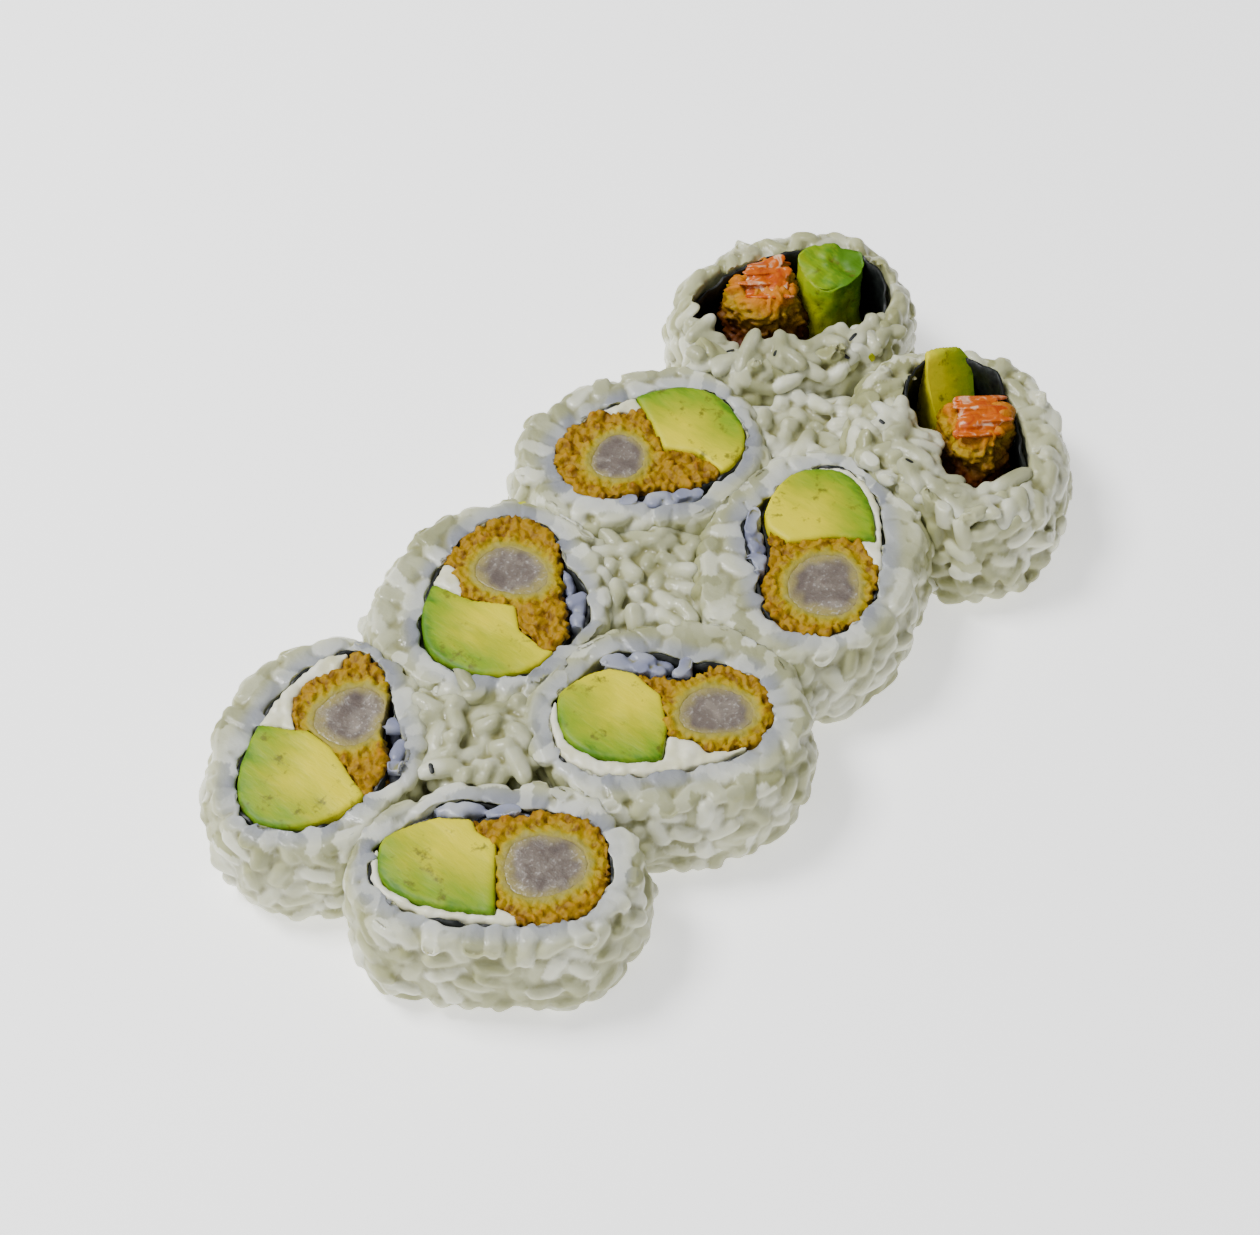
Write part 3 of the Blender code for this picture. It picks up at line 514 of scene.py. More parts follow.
def make_rice(piece, seed):
    rng = np.random.default_rng(seed)
    node = piece["name"] + "_rice"
    low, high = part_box(piece["name"] + "_nori")
    centre = np.array((low + high) / 2.0 / MM)
    ends = piece.get("end", False)
    core = object_from(solid_of(node), node + "_skin")
    packed = packed_tree(node)
    others = packed_tree(*(other["name"] + "_rice" for other in SLICES if other is not piece))
    places, outward = surface_points(core.data, RICE_TRIES, rng)
    from_hole = places[:, :2] - centre[:2]
    facing = (from_hole * outward[:, :2]).sum(axis=1) / np.linalg.norm(from_hole, axis=1)
    usable = (facing > -0.25) & (outward[:, 2] > -0.5) & (places[:, 2] > 0.8)
    places, outward = places[usable], outward[usable]
    beside, _ = distances(places, others)
    nearness = dict(zip(map(tuple, places), 1.0 - rise(beside, 1.5, 3.0)))
    fuse(core, CORE_VOXEL)
    mesh = core.data
    points = soften(mesh, points_of(mesh), 5)
    normal = normals_of(mesh)
    from_hole = points[:, :2] - centre[:2]
    facing = (from_hole * normal[:, :2]).sum(axis=1) / np.linalg.norm(from_hole, axis=1)
    side_inset, top_inset = (1.5, 1.2) if ends else (0.9, 0.5)
    inset = side_inset * rise(facing, -0.2, 0.5) + top_inset * rise(normal[:, 2], 0.3, 0.9)
    beside, _ = distances(points, others)
    inset *= 0.2 + 0.8 * rise(beside, 0.8, 3.0)
    put_points(mesh, points - normal * inset[:, None])
    bm = bmesh.new()
    bm.from_mesh(mesh)
    taken = np.empty((0, 3))
    centres = []
    for layer in LAYERS:
        laid, taken = lay_grains(places, outward, layer["apart"], rng, taken,
                                 level=17.0 if ends else 99.0)
        for place, along, out in laid:
            flat = not ends and out[2] > 0.8
            sunk = CUT_SUNK if flat else layer["sunk"] - 0.9 * nearness[tuple(place)]
            out = out + rng.normal(scale=0.04 if flat else 0.10, size=3)
            out /= np.linalg.norm(out)
            half = np.array(GRAIN_HALF) * rng.uniform(0.9, 1.1, 3)
            shape = grain_shapes[rng.integers(len(grain_shapes))]
            at = place - out * sunk * rng.uniform(0.9, 1.1)
            add_grain(bm, shape, at, along, out, half)
            centres += [at + spot * along for spot in SPOTS]
    bm.to_mesh(mesh)
    bm.free()
    fuse(core, RICE_VOXEL)
    mesh = core.data
    points = soften(mesh, points_of(mesh), 2, 0.35)
    beside, _ = distances(points, others)
    reach = 0.6 + 1.3 * (1.0 - rise(beside, 1.0, 3.5))
    if not ends:
        reach[points[:, 2] > HEIGHT - 0.6] = 0.12
        reach = np.where(points[:, 2] > HEIGHT - 2.0, np.minimum(reach, 0.9), reach)
    points = hold_to_solid(points, packed, reach)
    if not ends:
        hold_below(points, HEIGHT, 0.8)
    else:
        hold_below(points, END_RIM_TOP, END_RIM_SOFT)
    points = soften(mesh, points, 1, 0.4)
    rest_on_table(points, 0.0)
    put_points(mesh, points)
    normal = normals_of(mesh)
    points += normal * (0.04 * field(points, 1.1, seed) + 0.07 * field(points, 3.0, seed + 1))[:, None]
    cut = np.zeros(len(points))
    if not ends:
        sheet = packed_tree(piece["name"] + "_nori")
        top = np.flatnonzero(points[:, 2] > HEIGHT - 1.6)
        gap, spot = distances(points[top], sheet)
        spill = spill_at(points[top], piece) * (1.0 - rise(gap, 0.4, 2.6))
        towards = spot - points[top]
        towards[:, 2] = 0.0
        towards /= np.linalg.norm(towards, axis=1)[:, None] + 1e-6
        lip = rise(points[top, 2], HEIGHT - 1.6, HEIGHT - 0.7)
        points[top] += (1.05 * spill * lip)[:, None] * towards
        cut[top] = (rise(points[top, 2], HEIGHT - 1.4, HEIGHT - 0.4) * rise(normal[top, 2], 0.2, 0.75)
                    * (0.75 - 0.65 * rise(gap, 1.0, 4.0)))
        smeared = np.zeros(len(points))
        smeared[top] = (1.0 - rise(gap, 1.0, 2.8)) * rise(points[top, 2], HEIGHT - 2.4, HEIGHT - 1.4)
        points += smeared[:, None] * (soften(mesh, points, 3) - points)
    rest_on_table(points, 0.0)
    put_points(mesh, points)
    tree = KDTree(len(centres))
    for number, place in enumerate(centres):
        tree.insert(place, number // 3)
    tree.balance()
    shades = rng.random(len(centres))
    store_rice_values(mesh, cut, np.array([shades[tree.find(point)[1]] for point in points]))
    print(node, len(centres) // 3, "grains")
    return finish(core, rice_gel, "rice", node)


dress(make_rice, 100)

# %% [markdown]
# Where four slices meet, the photograph shows rice that was squeezed out and fills
# the corner, and the open end slices have grains that came loose and lean into the
# cup. These grains are laid the same way, one by one, and fused where they touch.

# %% Rice in the corners and loose grains
CORNERS = (
    dict(name="corner_rice_1", at=(-47.5, 4.5), around=12.0, top=20.0),
    dict(name="corner_rice_2", at=(-1.0, 3.5), around=12.0, top=18.0),
    dict(name="corner_rice_3", at=(45.5, 2.0), around=12.0, top=17.5),
)
CORE_RADIUS = 11.0


def fuse_grains(bm, name, seed):
    """Draws one skin round a heap of grains and finishes it as rice."""
    obj = fuse(object_from(bm, name), RICE_VOXEL)
    mesh = obj.data
    points = soften(mesh, points_of(mesh), 2, 0.35)
    rest_on_table(points, 0.0)
    put_points(mesh, points)
    store_rice_values(mesh, np.full(len(points), 0.1), 0.5 + 0.5 * field(points, 3.5, seed))
    return finish(obj, rice_gel, "rice")


def fill_corner(corner, seed):
    rng = np.random.default_rng(seed)
    walls = packed_tree(*(piece["name"] + "_rice" for piece in SLICES))
    places = rng.uniform((-1.0, -1.0, 0.0), (1.0, 1.0, 1.0), (CORNER_TRIES, 3))
    places *= (corner["around"], corner["around"], corner["top"])
    places = places[np.linalg.norm(places[:, :2], axis=1) < corner["around"]] + (*corner["at"], 0.0)
    kept = []
    for place in places:
        spot, normal, _, gap = walls.find_nearest(Vector(place) * MM)
        outside = (Vector(place) * MM - spot).dot(normal) > 0.0
        if place[2] > 1.5 and (outside or gap < 0.8 * MM) and gap < 5.0 * MM:
            kept.append(place)
    kept = np.array(kept)
    up = rng.normal(scale=0.3, size=(len(kept), 3)) + (0.0, 0.0, 1.0)
    from_middle = np.linalg.norm(kept[:, :2] - corner["at"], axis=1)
    seen = (kept[:, 2] > corner["top"] - 2.0) | (from_middle > CORE_RADIUS - 1.5)
    laid, _ = lay_grains(kept[seen], up[seen], 1.9, rng, np.empty((0, 3)))
    bm = bmesh.new()
    depth = corner["top"] - 0.9
    bmesh.ops.create_cone(bm, cap_ends=True, segments=24, radius1=CORE_RADIUS * MM,
                          radius2=CORE_RADIUS * MM, depth=depth * MM,
                          matrix=Matrix.Translation(Vector((*corner["at"], depth / 2.0)) * MM))
    for place, along, out in laid:
        shape = grain_shapes[rng.integers(len(grain_shapes))]
        add_grain(bm, shape, place, along, out, np.array(GRAIN_HALF) * rng.uniform(0.95, 1.1, 3))
    return fuse_grains(bm, corner["name"], seed), len(laid)


LOOSE = (
    dict(slice="slice8", sweep=(165, 300), count=56, inwards=(-4.5, 3.2), low=19.6),
    dict(slice="slice4", sweep=(195, 345), count=44, inwards=(-4.5, 1.8), low=19.8),
)


def scatter_loose(heap, seed):
    """Grains that lean over the rim of an open end; sweep is in degrees from the camera's right."""
    rng = np.random.default_rng(seed)
    low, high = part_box(heap["slice"] + "_nori")
    centre = np.array((low + high) / 2.0 / MM)
    walls = packed_tree(heap["slice"] + "_rice")
    bm = bmesh.new()
    for number in range(heap["count"]):
        share = (number + rng.uniform(0.2, 0.8)) / heap["count"]
        angle = math.radians(heap["sweep"][0] + share * (heap["sweep"][1] - heap["sweep"][0]))
        way = math.cos(angle) * RIGHT + math.sin(angle) * AWAY
        start = Vector((*centre[:2], 17.0)) * MM
        hit = walls.ray_cast(start, Vector(way))[3] / MM
        inwards = rng.uniform(*heap["inwards"])
        place = np.array([*centre[:2], 0.0]) + way * (hit - inwards)
        place[2] = heap["low"] + rng.uniform(0.8, 3.6) - 0.25 * max(0.0, inwards)
        along = rng.normal(size=3) * (1.0, 1.0, 0.2) + 0.5 * way
        out = np.array([0.0, 0.0, 1.0]) + rng.normal(scale=0.25, size=3)
        shape = grain_shapes[rng.integers(len(grain_shapes))]
        add_grain(bm, shape, place, along, out, np.array(GRAIN_HALF) * rng.uniform(0.95, 1.1, 3))
    return fuse_grains(bm, heap["slice"] + "_loose_grains", seed)


for number, corner in enumerate(CORNERS):
    made, grains = fill_corner(corner, 210 + number)
    print(made.name, grains, "grains", len(made.data.polygons), "faces")
for number, heap in enumerate(LOOSE):
    made = scatter_loose(heap, 230 + number)
    print(made.name, len(made.data.polygons), "faces")

# %% [markdown]
# Nori is pressed seaweed, almost black, and it crinkles as the wet rice softens it.
# Only its cut edge shows, so the sheet keeps its packed place and gets small
# waves and a ragged top.

# %% Nori
nori_sheet, tree = new_material("nori, pressed dried seaweed")
place = add(tree, "TexCoord").outputs["Object"]
fibre = add(tree, "TexNoise", {"Vector": place, "Scale": lump(1.11), "Detail": 4.0}).outputs["Fac"]
shade = add(tree, "ValToRGB", {"Fac": fibre}, stops=(
    (0.3, linear("07080A")), (0.75, linear("1E2320")))).outputs["Color"]
bump = add(tree, "Bump", {"Height": fibre, "Strength": 0.6, "Distance": 0.2 * MM}).outputs["Normal"]
close(tree, add(tree, "BsdfPrincipled", {
    "Base Color": shade, "Roughness": 0.45, "Normal": bump, "IOR": 1.4}))


def make_nori(piece, seed):
    node = piece["name"] + "_nori"
    bm = solid_of(node)
    bmesh.ops.subdivide_edges(bm, edges=bm.edges, cuts=4, use_grid_fill=True)
    obj = object_from(bm, node + "_sheet")
    points = points_of(obj.data)
    upper = rise(points[:, 2], HEIGHT - 3.0, HEIGHT - 0.8)
    wave = np.stack([field(points * (1, 1, 0.3), 2.2, seed), field(points * (1, 1, 0.3), 2.2, seed + 1),
                     2.0 * field(points, 1.6, seed + 2) - 0.8], axis=1)
    if piece.get("end"):
        back = (points[:, :2] - points[:, :2].mean(axis=0)) @ AWAY[:2]
        lift = rise(points[:, 2], 12.0, HEIGHT - 0.5)
        points[:, 2] += lift * (3.4 * rise(back, 2.0, 12.0) - 1.2 * rise(-back, 2.0, 10.0))
        points[:, 2] += 0.8 * lift * field(points, 2.2, seed + 3)
        centre = points[:, :2].mean(axis=0) - points[:, :2]
        centre /= np.linalg.norm(centre, axis=1)[:, None]
        curl = 0.9 + 0.7 * field(points * (1, 1, 0.6), 2.6, seed + 4)
        points[:, :2] += centre * (lift * np.maximum(curl, 0.4))[:, None]
    else:
        points[:, 2] -= 1.4 * upper * spill_at(points, piece)
    points += 0.16 * wave * upper[:, None]
    put_points(obj.data, points)
    return finish(obj, nori_sheet, "nori", node)


dress(make_nori, 300)

# %% [markdown]
# Ripe avocado is buttery: bright green under the skin and yellow towards the stone,
# with a few brown fibres. The knife leaves a smooth, slightly domed face. In the two
# ends a stick of it stands up out of the cup of nori.

# %% Ripe avocado
avocado_flesh, tree = new_material("ripe avocado flesh")
inward = add(tree, "Attribute", attribute_name="inward").outputs["Fac"]
place = add(tree, "TexCoord").outputs["Object"]
grain = add(tree, "Mapping", {"Vector": place, "Rotation": (0.0, 0.0, 0.6), "Scale": (1.0, 0.3, 1.0)})
mottle = add(tree, "TexNoise", {"Vector": grain.outputs[0], "Scale": lump(2.38), "Detail": 6.0,
                                "Roughness": 0.65}).outputs["Fac"]
mixed = add(tree, "Math", {0: mottle, 1: 10.0}, operation="MULTIPLY").outputs[0]
depth = add(tree, "Math", {0: inward, 1: mixed}, operation="ADD").outputs[0]
scaled = add(tree, "MapRange", {"Value": depth, "From Min": 4.6, "From Max": 17.0}).outputs["Result"]
flesh_colour = add(tree, "ValToRGB", {"Fac": scaled}, stops=(
    (0.0, linear("4A7800")), (1.0, linear("DCD000")), (0.16, linear("7A9A00")),
    (0.5, linear("A6AC00")))).outputs["Color"]
speck = add(tree, "TexNoise", {"Vector": place, "Scale": lump(3.33), "Detail": 5.0,
                               "Roughness": 0.65}).outputs["Fac"]
dark = add(tree, "MapRange", {"Value": speck, "From Min": 0.58, "From Max": 0.68,
                              "To Max": 0.8}).outputs["Result"]
flesh_colour = add(tree, "Mix", {"Factor": dark, "A": flesh_colour, "B": linear("5C5A12")},
                   data_type="RGBA").outputs["Result"]
bump = add(tree, "Bump", {"Height": mottle, "Strength": 0.5, "Distance": 0.4 * MM}).outputs["Normal"]
close(tree, add(tree, "BsdfPrincipled", {
    "Base Color": flesh_colour, "Roughness": 0.5, "Normal": bump, "IOR": 1.36,
    "Subsurface Weight": 0.05, "Subsurface Radius": (1.0, 0.9, 0.3), "Subsurface Scale": 1.2 * MM}))


# The sticks in the two ends: slice8 shows a steep clean cut, slice4 a torn green chunk.
# Ripe and yellow say how yellow the middle is, and which way the green turns to yellow.
STICK_TOP = 25.9
CLEAN = 0.4
STICKS = {
    "slice4": dict(slant=0.15, rough=1.5, ripe=2.0, yellow=-0.5 * RIGHT - np.array([0.0, 0.0, 0.45])),
    "slice8": dict(slant=1.4, rough=CLEAN, ripe=7.5, yellow=-1.1 * RIGHT - 0.5 * AWAY),
}


def make_avocado(piece, seed):
    node = piece["name"] + "_avocado"
    obj = fuse(object_from(solid_of(node), node + "_flesh"), AVOCADO_VOXEL)
    mesh = obj.data
    points = soften(mesh, points_of(mesh), 3)
    put_points(mesh, points)
    points += normals_of(mesh) * (0.12 * field(points, 3.0, seed) + 0.2)[:, None]
    stick = STICKS.get(piece["name"])
    if stick:
        rough = 0.5 * field(points, 3.4, seed + 1) + 0.3 * field(points, 1.5, seed + 2) + 0.7
        points += normals_of(mesh) * (stick["rough"] * rough)[:, None]
        back = (points - points.mean(axis=0)) @ (AWAY - 0.5 * RIGHT)
        points[:, 2] += 4.0 * rise(points[:, 2], 12.0, 20.0)
        knife = STICK_TOP + stick["slant"] * (back - back.max() + 2.0)
        knife += 1.5 * (stick["rough"] - CLEAN) * (rough - 1.2)
        points[:, 2] = np.minimum(points[:, 2], np.minimum(knife, STICK_TOP))
    rest_on_table(points)
    put_points(mesh, points)
    ex, ey = slice_axes(piece)
    normal = normals_of(mesh)
    skin_side = -(0.5 * ex + 0.85 * ey)
    rim = points[(normal @ skin_side > 0.45) & (abs(normal[:, 2]) < 0.5)]
    tree = KDTree(len(rim))
    for number, point in enumerate(rim):
        tree.insert((point[0], point[1], 0.0), number)
    tree.balance()
    inward = np.array([tree.find((p[0], p[1], 0.0))[2] for p in points])
    if stick:
        middle = np.array([*points[:, :2].mean(axis=0), HEIGHT])
        inward = stick["ripe"] + (points - middle) @ stick["yellow"]
    keep_value(mesh, "inward", inward)
    return finish(obj, avocado_flesh, "avocado", node)


dress(make_avocado, 400)

# %% [markdown]
# The prawn was dipped in batter, rolled in breadcrumbs and fried. The crust is
# golden and broken up, and the batter under it is paler, so the colour follows the
# distance from the prawn inside.

# %% Fried crumb and batter
crumb_crust, tree = new_material("fried breadcrumb crust")
outward_value = add(tree, "Attribute", attribute_name="outward").outputs["Fac"]
place = add(tree, "TexCoord").outputs["Object"]
rough = add(tree, "TexNoise", {"Vector": place, "Scale": lump(1.43), "Detail": 4.0}).outputs["Fac"]
spread_value = add(tree, "Math", {0: rough, 1: 2.4}, operation="MULTIPLY").outputs[0]
depth = add(tree, "Math", {0: outward_value, 1: spread_value}, operation="ADD").outputs[0]
scaled = add(tree, "MapRange", {"Value": depth, "From Min": 1.1, "From Max": 4.9}).outputs["Result"]
crust_colour = add(tree, "ValToRGB", {"Fac": scaled}, stops=(
    (0.0, linear("988C56")), (1.0, linear("A07A00")), (0.34, linear("A09430")),
    (0.5, linear("AC9400")))).outputs["Color"]
patch = add(tree, "TexNoise", {"Vector": place, "Scale": lump(1.92), "Detail": 5.0}).outputs["Fac"]
browned = add(tree, "MapRange", {"Value": patch, "From Min": 0.5, "From Max": 0.62, "To Max": 0.8})
far_out = add(tree, "MapRange", {"Value": depth, "From Min": 2.6, "From Max": 3.8}).outputs["Result"]
browned = add(tree, "Math", {0: browned.outputs["Result"], 1: far_out}, operation="MULTIPLY").outputs[0]
crust_colour = add(tree, "Mix", {"Factor": browned, "A": crust_colour, "B": linear("6A4600")},
                   data_type="RGBA").outputs["Result"]
# By height alone: from 21.6 mm down to 16 mm the crust is mixed towards dark red-brown, and above 21.4
# mm towards orange.
height = add(tree, "SeparateXYZ", {0: place}).outputs["Z"]
low_down = add(tree, "MapRange", {"Value": height, "From Min": 21.6 * MM, "From Max": 16.0 * MM,
                                  "To Max": 0.92}).outputs["Result"]
crust_colour = add(tree, "Mix", {"Factor": low_down, "A": crust_colour, "B": linear("4A1804")},
                   data_type="RGBA").outputs["Result"]
high_up = add(tree, "MapRange", {"Value": height, "From Min": 21.4 * MM, "From Max": 23.5 * MM,
                                 "To Max": 0.8}).outputs["Result"]
crust_colour = add(tree, "Mix", {"Factor": high_up, "A": crust_colour, "B": linear("C87000")},
                   data_type="RGBA").outputs["Result"]
bump = add(tree, "Bump", {"Height": rough, "Strength": 0.8, "Distance": 0.5 * MM}).outputs["Normal"]
close(tree, add(tree, "BsdfPrincipled", {
    "Base Color": crust_colour, "Roughness": 0.55, "Normal": bump, "Specular IOR Level": 0.2}))


CRUST_TOP = 25.8


def make_crust(piece, seed):
    node = piece["name"] + "_batter"
    obj = fuse(object_from(solid_of(node), node + "_crust"), CRUST_VOXEL)
    mesh = obj.data
    points = soften(mesh, points_of(mesh), 2)
    put_points(mesh, points)
    inner = BVHTree.FromObject(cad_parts[piece["name"] + "_prawn"],
                               bpy.context.evaluated_depsgraph_get())
    level = np.minimum(points[:, 2], HEIGHT - 1.0)
    gap = np.array([inner.find_nearest(Vector((p[0], p[1], z)) * MM)[3] / MM
                    for p, z in zip(points, level)])
    crumbs = (0.9 * np.abs(field(points, 2.2, seed)) + 1.1 * np.abs(field(points, 1.2, seed + 3))
              + 0.7 * field(points, 0.7, seed + 1) - 0.5)
    if piece.get("end"):
        crumbs += 1.5 * field(points, 4.0, seed + 2) + 0.9
    points += normals_of(mesh) * (crumbs * rise(gap, 0.6, 2.4) + 0.18)[:, None]
    points[:, 2] = np.clip(points[:, 2], 0.05, CRUST_TOP)
    put_points(mesh, points)
    keep_value(mesh, "outward", gap)
    return finish(obj, crumb_crust, "batter", node)


dress(make_crust, 500)

# %% [markdown]
# Cooked prawn is firm, wet and faintly purple-grey in this light. Small white flecks
# are painted on the flesh as painted glints, where strands of muscle catch the light.
# On the two ends the tail stands on top: its shell fried bright orange, with pale
# stripes that are partly pale shell and partly painted highlights, folded like a fan.

# %% Prawn
prawn_flesh, tree = new_material("cooked prawn flesh")
place = add(tree, "TexCoord").outputs["Object"]
edge = add(tree, "Attribute", attribute_name="edge").outputs["Fac"]
strands = add(tree, "TexNoise", {"Vector": place, "Scale": lump(4.17), "Detail": 5.0,
                                 "Distortion": 0.8}).outputs["Fac"]
shade = add(tree, "ValToRGB", {"Fac": strands}, stops=(
    (0.3, linear("5E5450")), (0.8, linear("9A9084")), (0.5, linear("70665E")))).outputs["Color"]
shade = add(tree, "Mix", {"Factor": edge, "A": shade, "B": linear("988C56")},
            data_type="RGBA").outputs["Result"]
glint = add(tree, "TexNoise", {"Vector": place, "Scale": lump(0.7), "Detail": 3.0}).outputs["Fac"]
bump = add(tree, "Bump", {"Height": glint, "Strength": 0.6, "Distance": 0.25 * MM}).outputs["Normal"]
# Painted glints: small white flecks mixed into the flesh colour where the fine noise and the strands
# are both high.
painted_glints = add(tree, "MapRange", {"Value": glint, "From Min": 0.56, "From Max": 0.66,
                                "To Max": 0.35}).outputs["Result"]
glint_bunches = add(tree, "MapRange", {"Value": strands, "From Min": 0.42, "From Max": 0.6}).outputs["Result"]
painted_glints = add(tree, "Math", {0: painted_glints, 1: glint_bunches}, operation="MULTIPLY").outputs[0]
shade = add(tree, "Mix", {"Factor": painted_glints, "A": shade, "B": linear("D4D0CC")},
            data_type="RGBA").outputs["Result"]
close(tree, add(tree, "BsdfPrincipled", {
    "Base Color": shade, "Roughness": 0.26, "Normal": bump, "IOR": 1.36,
    "Subsurface Weight": 0.3, "Subsurface Radius": (1.0, 0.7, 0.7), "Subsurface Scale": 1.2 * MM}))

fried_tail, tree = new_material("fried prawn tail")
place = add(tree, "TexCoord").outputs["Object"]
tail_bands_and_highlights = add(tree, "TexNoise", {"Vector": place, "Scale": lump(2.38), "Detail": 3.0,
                               "Distortion": 1.0}).outputs["Fac"]
# The pale stop ECD0B0 gives pale shell stripes that also stand in as painted highlights.
shade = add(tree, "ValToRGB", {"Fac": tail_bands_and_highlights}, stops=(
    (0.3, linear("A83C00")), (0.7, linear("ECD0B0")), (0.54, linear("CC6400")))).outputs["Color"]
close(tree, add(tree, "BsdfPrincipled", {
    "Base Color": shade, "Roughness": 0.3, "IOR": 1.4, "Subsurface Weight": 0.08,
    "Subsurface Radius": (1.0, 0.5, 0.3), "Subsurface Scale": 1.0 * MM}))


TAIL_FOLDS, TAIL_SPAN, TAIL_TOP = 7, 8.5, 26.0
TURNS = 36


def make_prawn(piece, seed):
    node = piece["name"] + "_prawn"
    obj = fuse(object_from(solid_of(node), node + "_flesh"), PRAWN_VOXEL)
    mesh = obj.data
    points = soften(mesh, points_of(mesh), 2)
    put_points(mesh, points)
    lumps = 0.2 * field(points, 2.0, seed) + 0.1 * field(points, 0.9, seed + 1) + 0.1
    points += normals_of(mesh) * lumps[:, None]
    if not piece.get("end"):
        level = HEIGHT + 0.12 * field(points, 1.4, seed + 2)
        points[:, 2] = np.minimum(points[:, 2], level)
        points += normals_of(mesh) * (0.55, 0.55, 0.0)
    rest_on_table(points)
    put_points(mesh, points)
    if piece.get("end"):
        rng = np.random.default_rng(seed)
        centre = points.mean(axis=0)
        bm = bmesh.new()
        bm.from_mesh(mesh)
        for number in range(TAIL_FOLDS):
            across = TAIL_SPAN * (number / (TAIL_FOLDS - 1) - 0.5)
            along = RIGHT + 0.4 * AWAY + rng.normal(scale=0.22, size=3)
            out = np.array([0.0, 0.0, 0.8]) + (-1.0) ** number * 0.7 * AWAY
            at = centre - across * AWAY + rng.uniform(-1.2, 1.6) * RIGHT
            at[2] += 1.0 - 0.14 * abs(across + 1.0) ** 1.5
            add_grain(bm, grain_shapes[3], at, along, out, (rng.uniform(4.0, 5.6), 1.7, 0.6))
        bm.to_mesh(mesh)
        bm.free()
        fuse(obj, TAIL_VOXEL)
        mesh = obj.data
        points = soften(mesh, points_of(mesh), 1)
        hold_below(points, TAIL_TOP, 2.0)
        put_points(mesh, points)
    middle = points[:, :2].mean(axis=0)
    out = np.linalg.norm(points[:, :2] - middle, axis=1)
    turns = np.arctan2(*(points[:, :2] - middle).T)
    bins = ((turns + math.pi) / (2.0 * math.pi) * (TURNS - 0.01)).astype(int)
    reach = np.array([out[bins == k].max() for k in range(TURNS)])[bins]
    ragged = 0.1 * field(points, 1.5, seed + 3) + 0.16 * field(points, 4.0, seed + 4)
    keep_value(mesh, "edge", rise(out / reach + ragged, 0.62, 0.98))
    if piece.get("end"):
        return finish(obj, fried_tail, "tail", node)
    return finish(obj, prawn_flesh, "prawn", node)


dress(make_prawn, 600)

# %% [markdown]
# Soft white cheese was spread on the nori before rolling, and the knife smears it.

# %% Soft cheese
soft_cheese, tree = new_material("soft cream cheese")
place = add(tree, "TexCoord").outputs["Object"]
smear = add(tree, "TexNoise", {"Vector": place, "Scale": lump(3.33), "Detail": 3.0}).outputs["Fac"]
shade = add(tree, "ValToRGB", {"Fac": smear}, stops=(
    (0.3, linear("DAD8B0")), (0.7, linear("F2F0DC")))).outputs["Color"]
bump = add(tree, "Bump", {"Height": smear, "Strength": 0.3, "Distance": 0.4 * MM}).outputs["Normal"]
close(tree, add(tree, "BsdfPrincipled", {
    "Base Color": shade, "Roughness": 0.38, "Normal": bump, "IOR": 1.45,
    "Subsurface Weight": 0.25, "Subsurface Radius": (1.0, 0.9, 0.7), "Subsurface Scale": 1.0 * MM}))


def make_cheese(piece, seed):
    node = piece["name"] + "_cheese"
    obj = fuse(object_from(solid_of(node), node + "_smear"), CHEESE_VOXEL)
    mesh = obj.data
    points = soften(mesh, points_of(mesh), 3)
    put_points(mesh, points)
    lumps = 0.45 * field(points, 2.2, seed) + 0.25 * field(points, 1.0, seed + 1) + 0.2
    points += normals_of(mesh) * lumps[:, None]
    rest_on_table(points)
    put_points(mesh, points)
    return finish(obj, soft_cheese, "cheese", node)


dress(make_cheese, 700)

# %% [markdown]
# Where the two edges of the nori overlap, a few grains of rice are caught between
# them. They were pressed flat and shine bluish.

# %% Rice caught in the seam


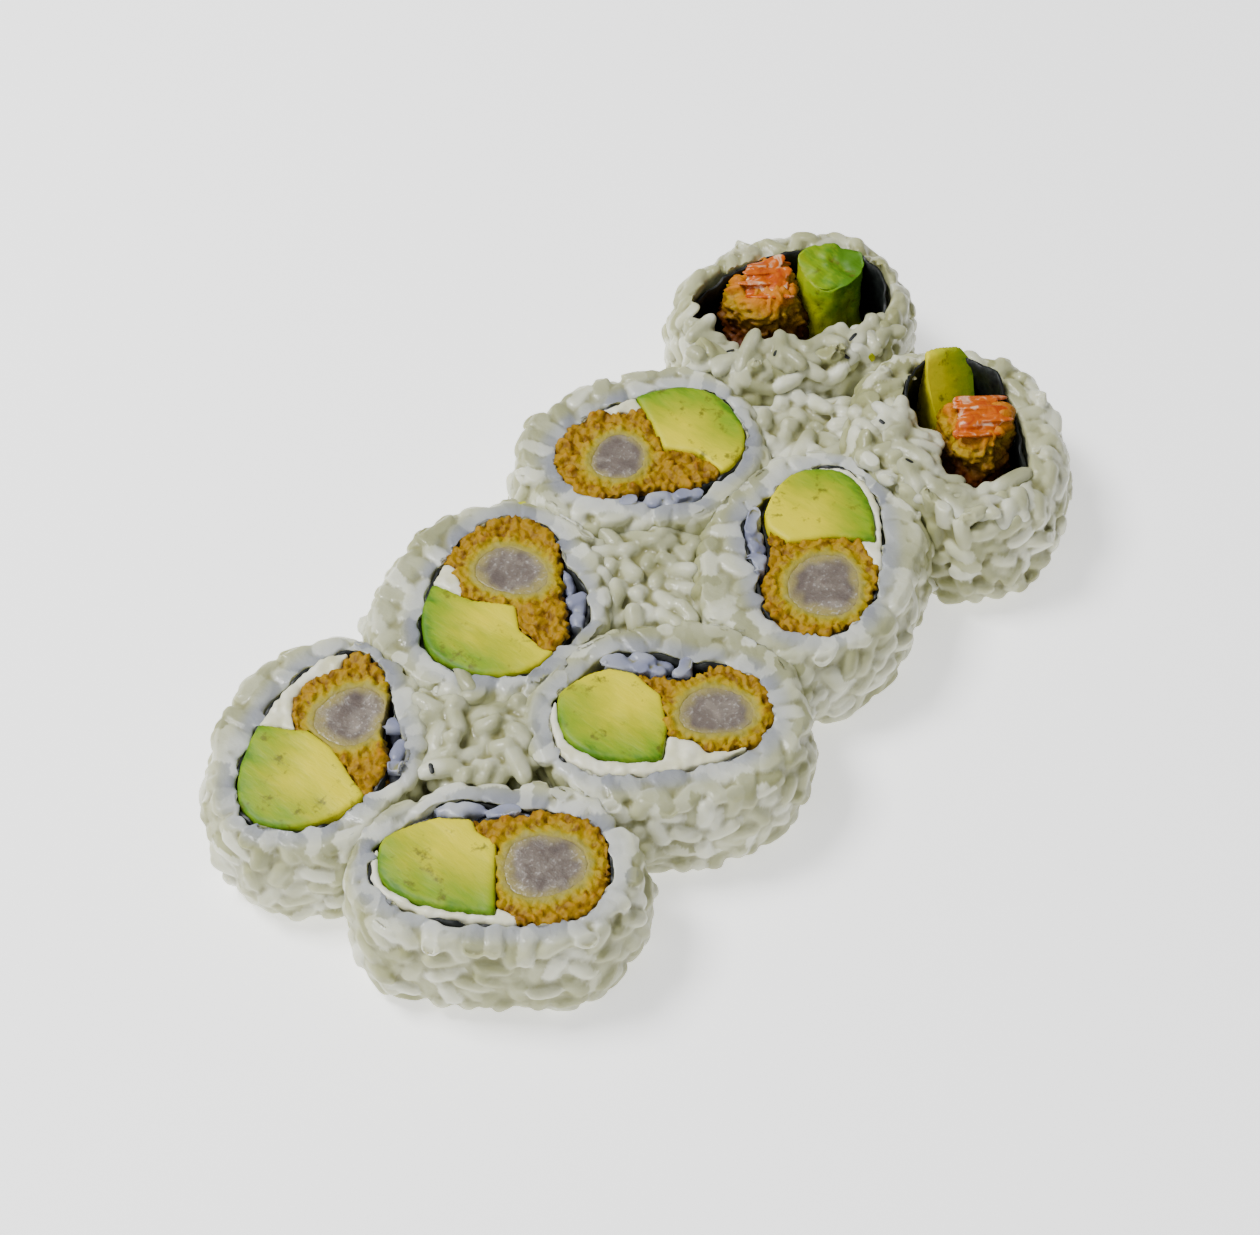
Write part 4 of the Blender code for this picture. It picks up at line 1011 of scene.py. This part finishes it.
def make_seam_rice(piece, seed):
    rng = np.random.default_rng(seed)
    node = piece["name"] + "_seam_rice"
    obj = object_from(solid_of(node), node + "_grains")
    packed = packed_tree(node)
    places, outward = surface_points(obj.data, SEAM_TRIES, rng)
    usable = (places[:, 2] > 0.8) & (outward[:, 2] > -0.5)
    laid, _ = lay_grains(places[usable], outward[usable], 2.3, rng, np.empty((0, 3)))
    points = soften(obj.data, points_of(obj.data), 1)
    middle = points.mean(axis=0)
    put_points(obj.data, middle + (points - middle) * (0.8, 0.8, 0.93) - (0.0, 0.0, 0.7))
    bm = bmesh.new()
    bm.from_mesh(obj.data)
    for place, along, out in laid:
        half = np.array(GRAIN_HALF) * (0.8, 0.9, 0.9)
        add_grain(bm, grain_shapes[0], place - out * 0.9, along, out, half)
    bm.to_mesh(obj.data)
    bm.free()
    fuse(obj, RICE_VOXEL)
    mesh = obj.data
    points = soften(mesh, points_of(mesh), 2)
    points = hold_to_solid(points, packed, np.full(len(points), 0.3))
    rest_on_table(points, 0.0)
    put_points(mesh, points)
    store_rice_values(mesh, np.ones(len(points)), 0.15 + 0.4 * field(points, 3.0, seed))
    return finish(obj, rice_gel, "seam_rice", node)


dress(make_seam_rice, 800, ends=False)

# %% [markdown]
# Cutting and serving leave small things on the rice: torn flecks of nori and smears
# of avocado. Each one is dropped straight down on the rice and lies flat on it.

# %% Small bits on the rice
BITS = (
    dict(name="nori_flecks", material=nori_sheet, slot="nori", half=(0.9, 0.5, 0.14), at=(
        (53.0, 16.9), (62.0, 6.2), (66.3, 7.9), (48.8, 24.7), (46.9, -19.6), (51.6, -9.8),
        (76.0, -14.4), (74.6, -17.7), (-13.8, -18.6), (-60.0, 3.0))),
    dict(name="avocado_smears", material=avocado_flesh, slot="avocado", half=(1.3, 0.7, 0.25), at=(
        (66.4, 3.1), (-2.7, 34.0), (-28.5, 5.1), (-84.0, 24.0))),
)
rice_pieces = [o for o in bpy.data.objects if o.type == "MESH" and len(o.data.materials)
               and o.data.materials[0] is rice_gel]
for bit in BITS:
    rng = np.random.default_rng(len(bit["at"]))
    bm = bmesh.new()
    for place in bit["at"]:
        start = Vector((*place, 60.0)) * MM
        hits = [o.ray_cast(start, Vector((0.0, 0.0, -1.0))) for o in rice_pieces]
        hits = [(spot.z, spot, normal) for found, spot, normal, _ in hits if found]
        if hits:
            _, spot, normal = max(hits, key=lambda hit: hit[0])
            add_grain(bm, grain_shapes[1], np.array(spot) / MM, rng.normal(size=3), np.array(normal),
                      np.array(bit["half"]) * rng.uniform(0.7, 1.3, 3))
    made = object_from(bm, bit["name"])
    keep_value(made.data, "inward", np.full(len(made.data.vertices), 6.0))
    finish(made, bit["material"], bit["slot"])
    print(made.name, len(made.data.polygons), "faces")
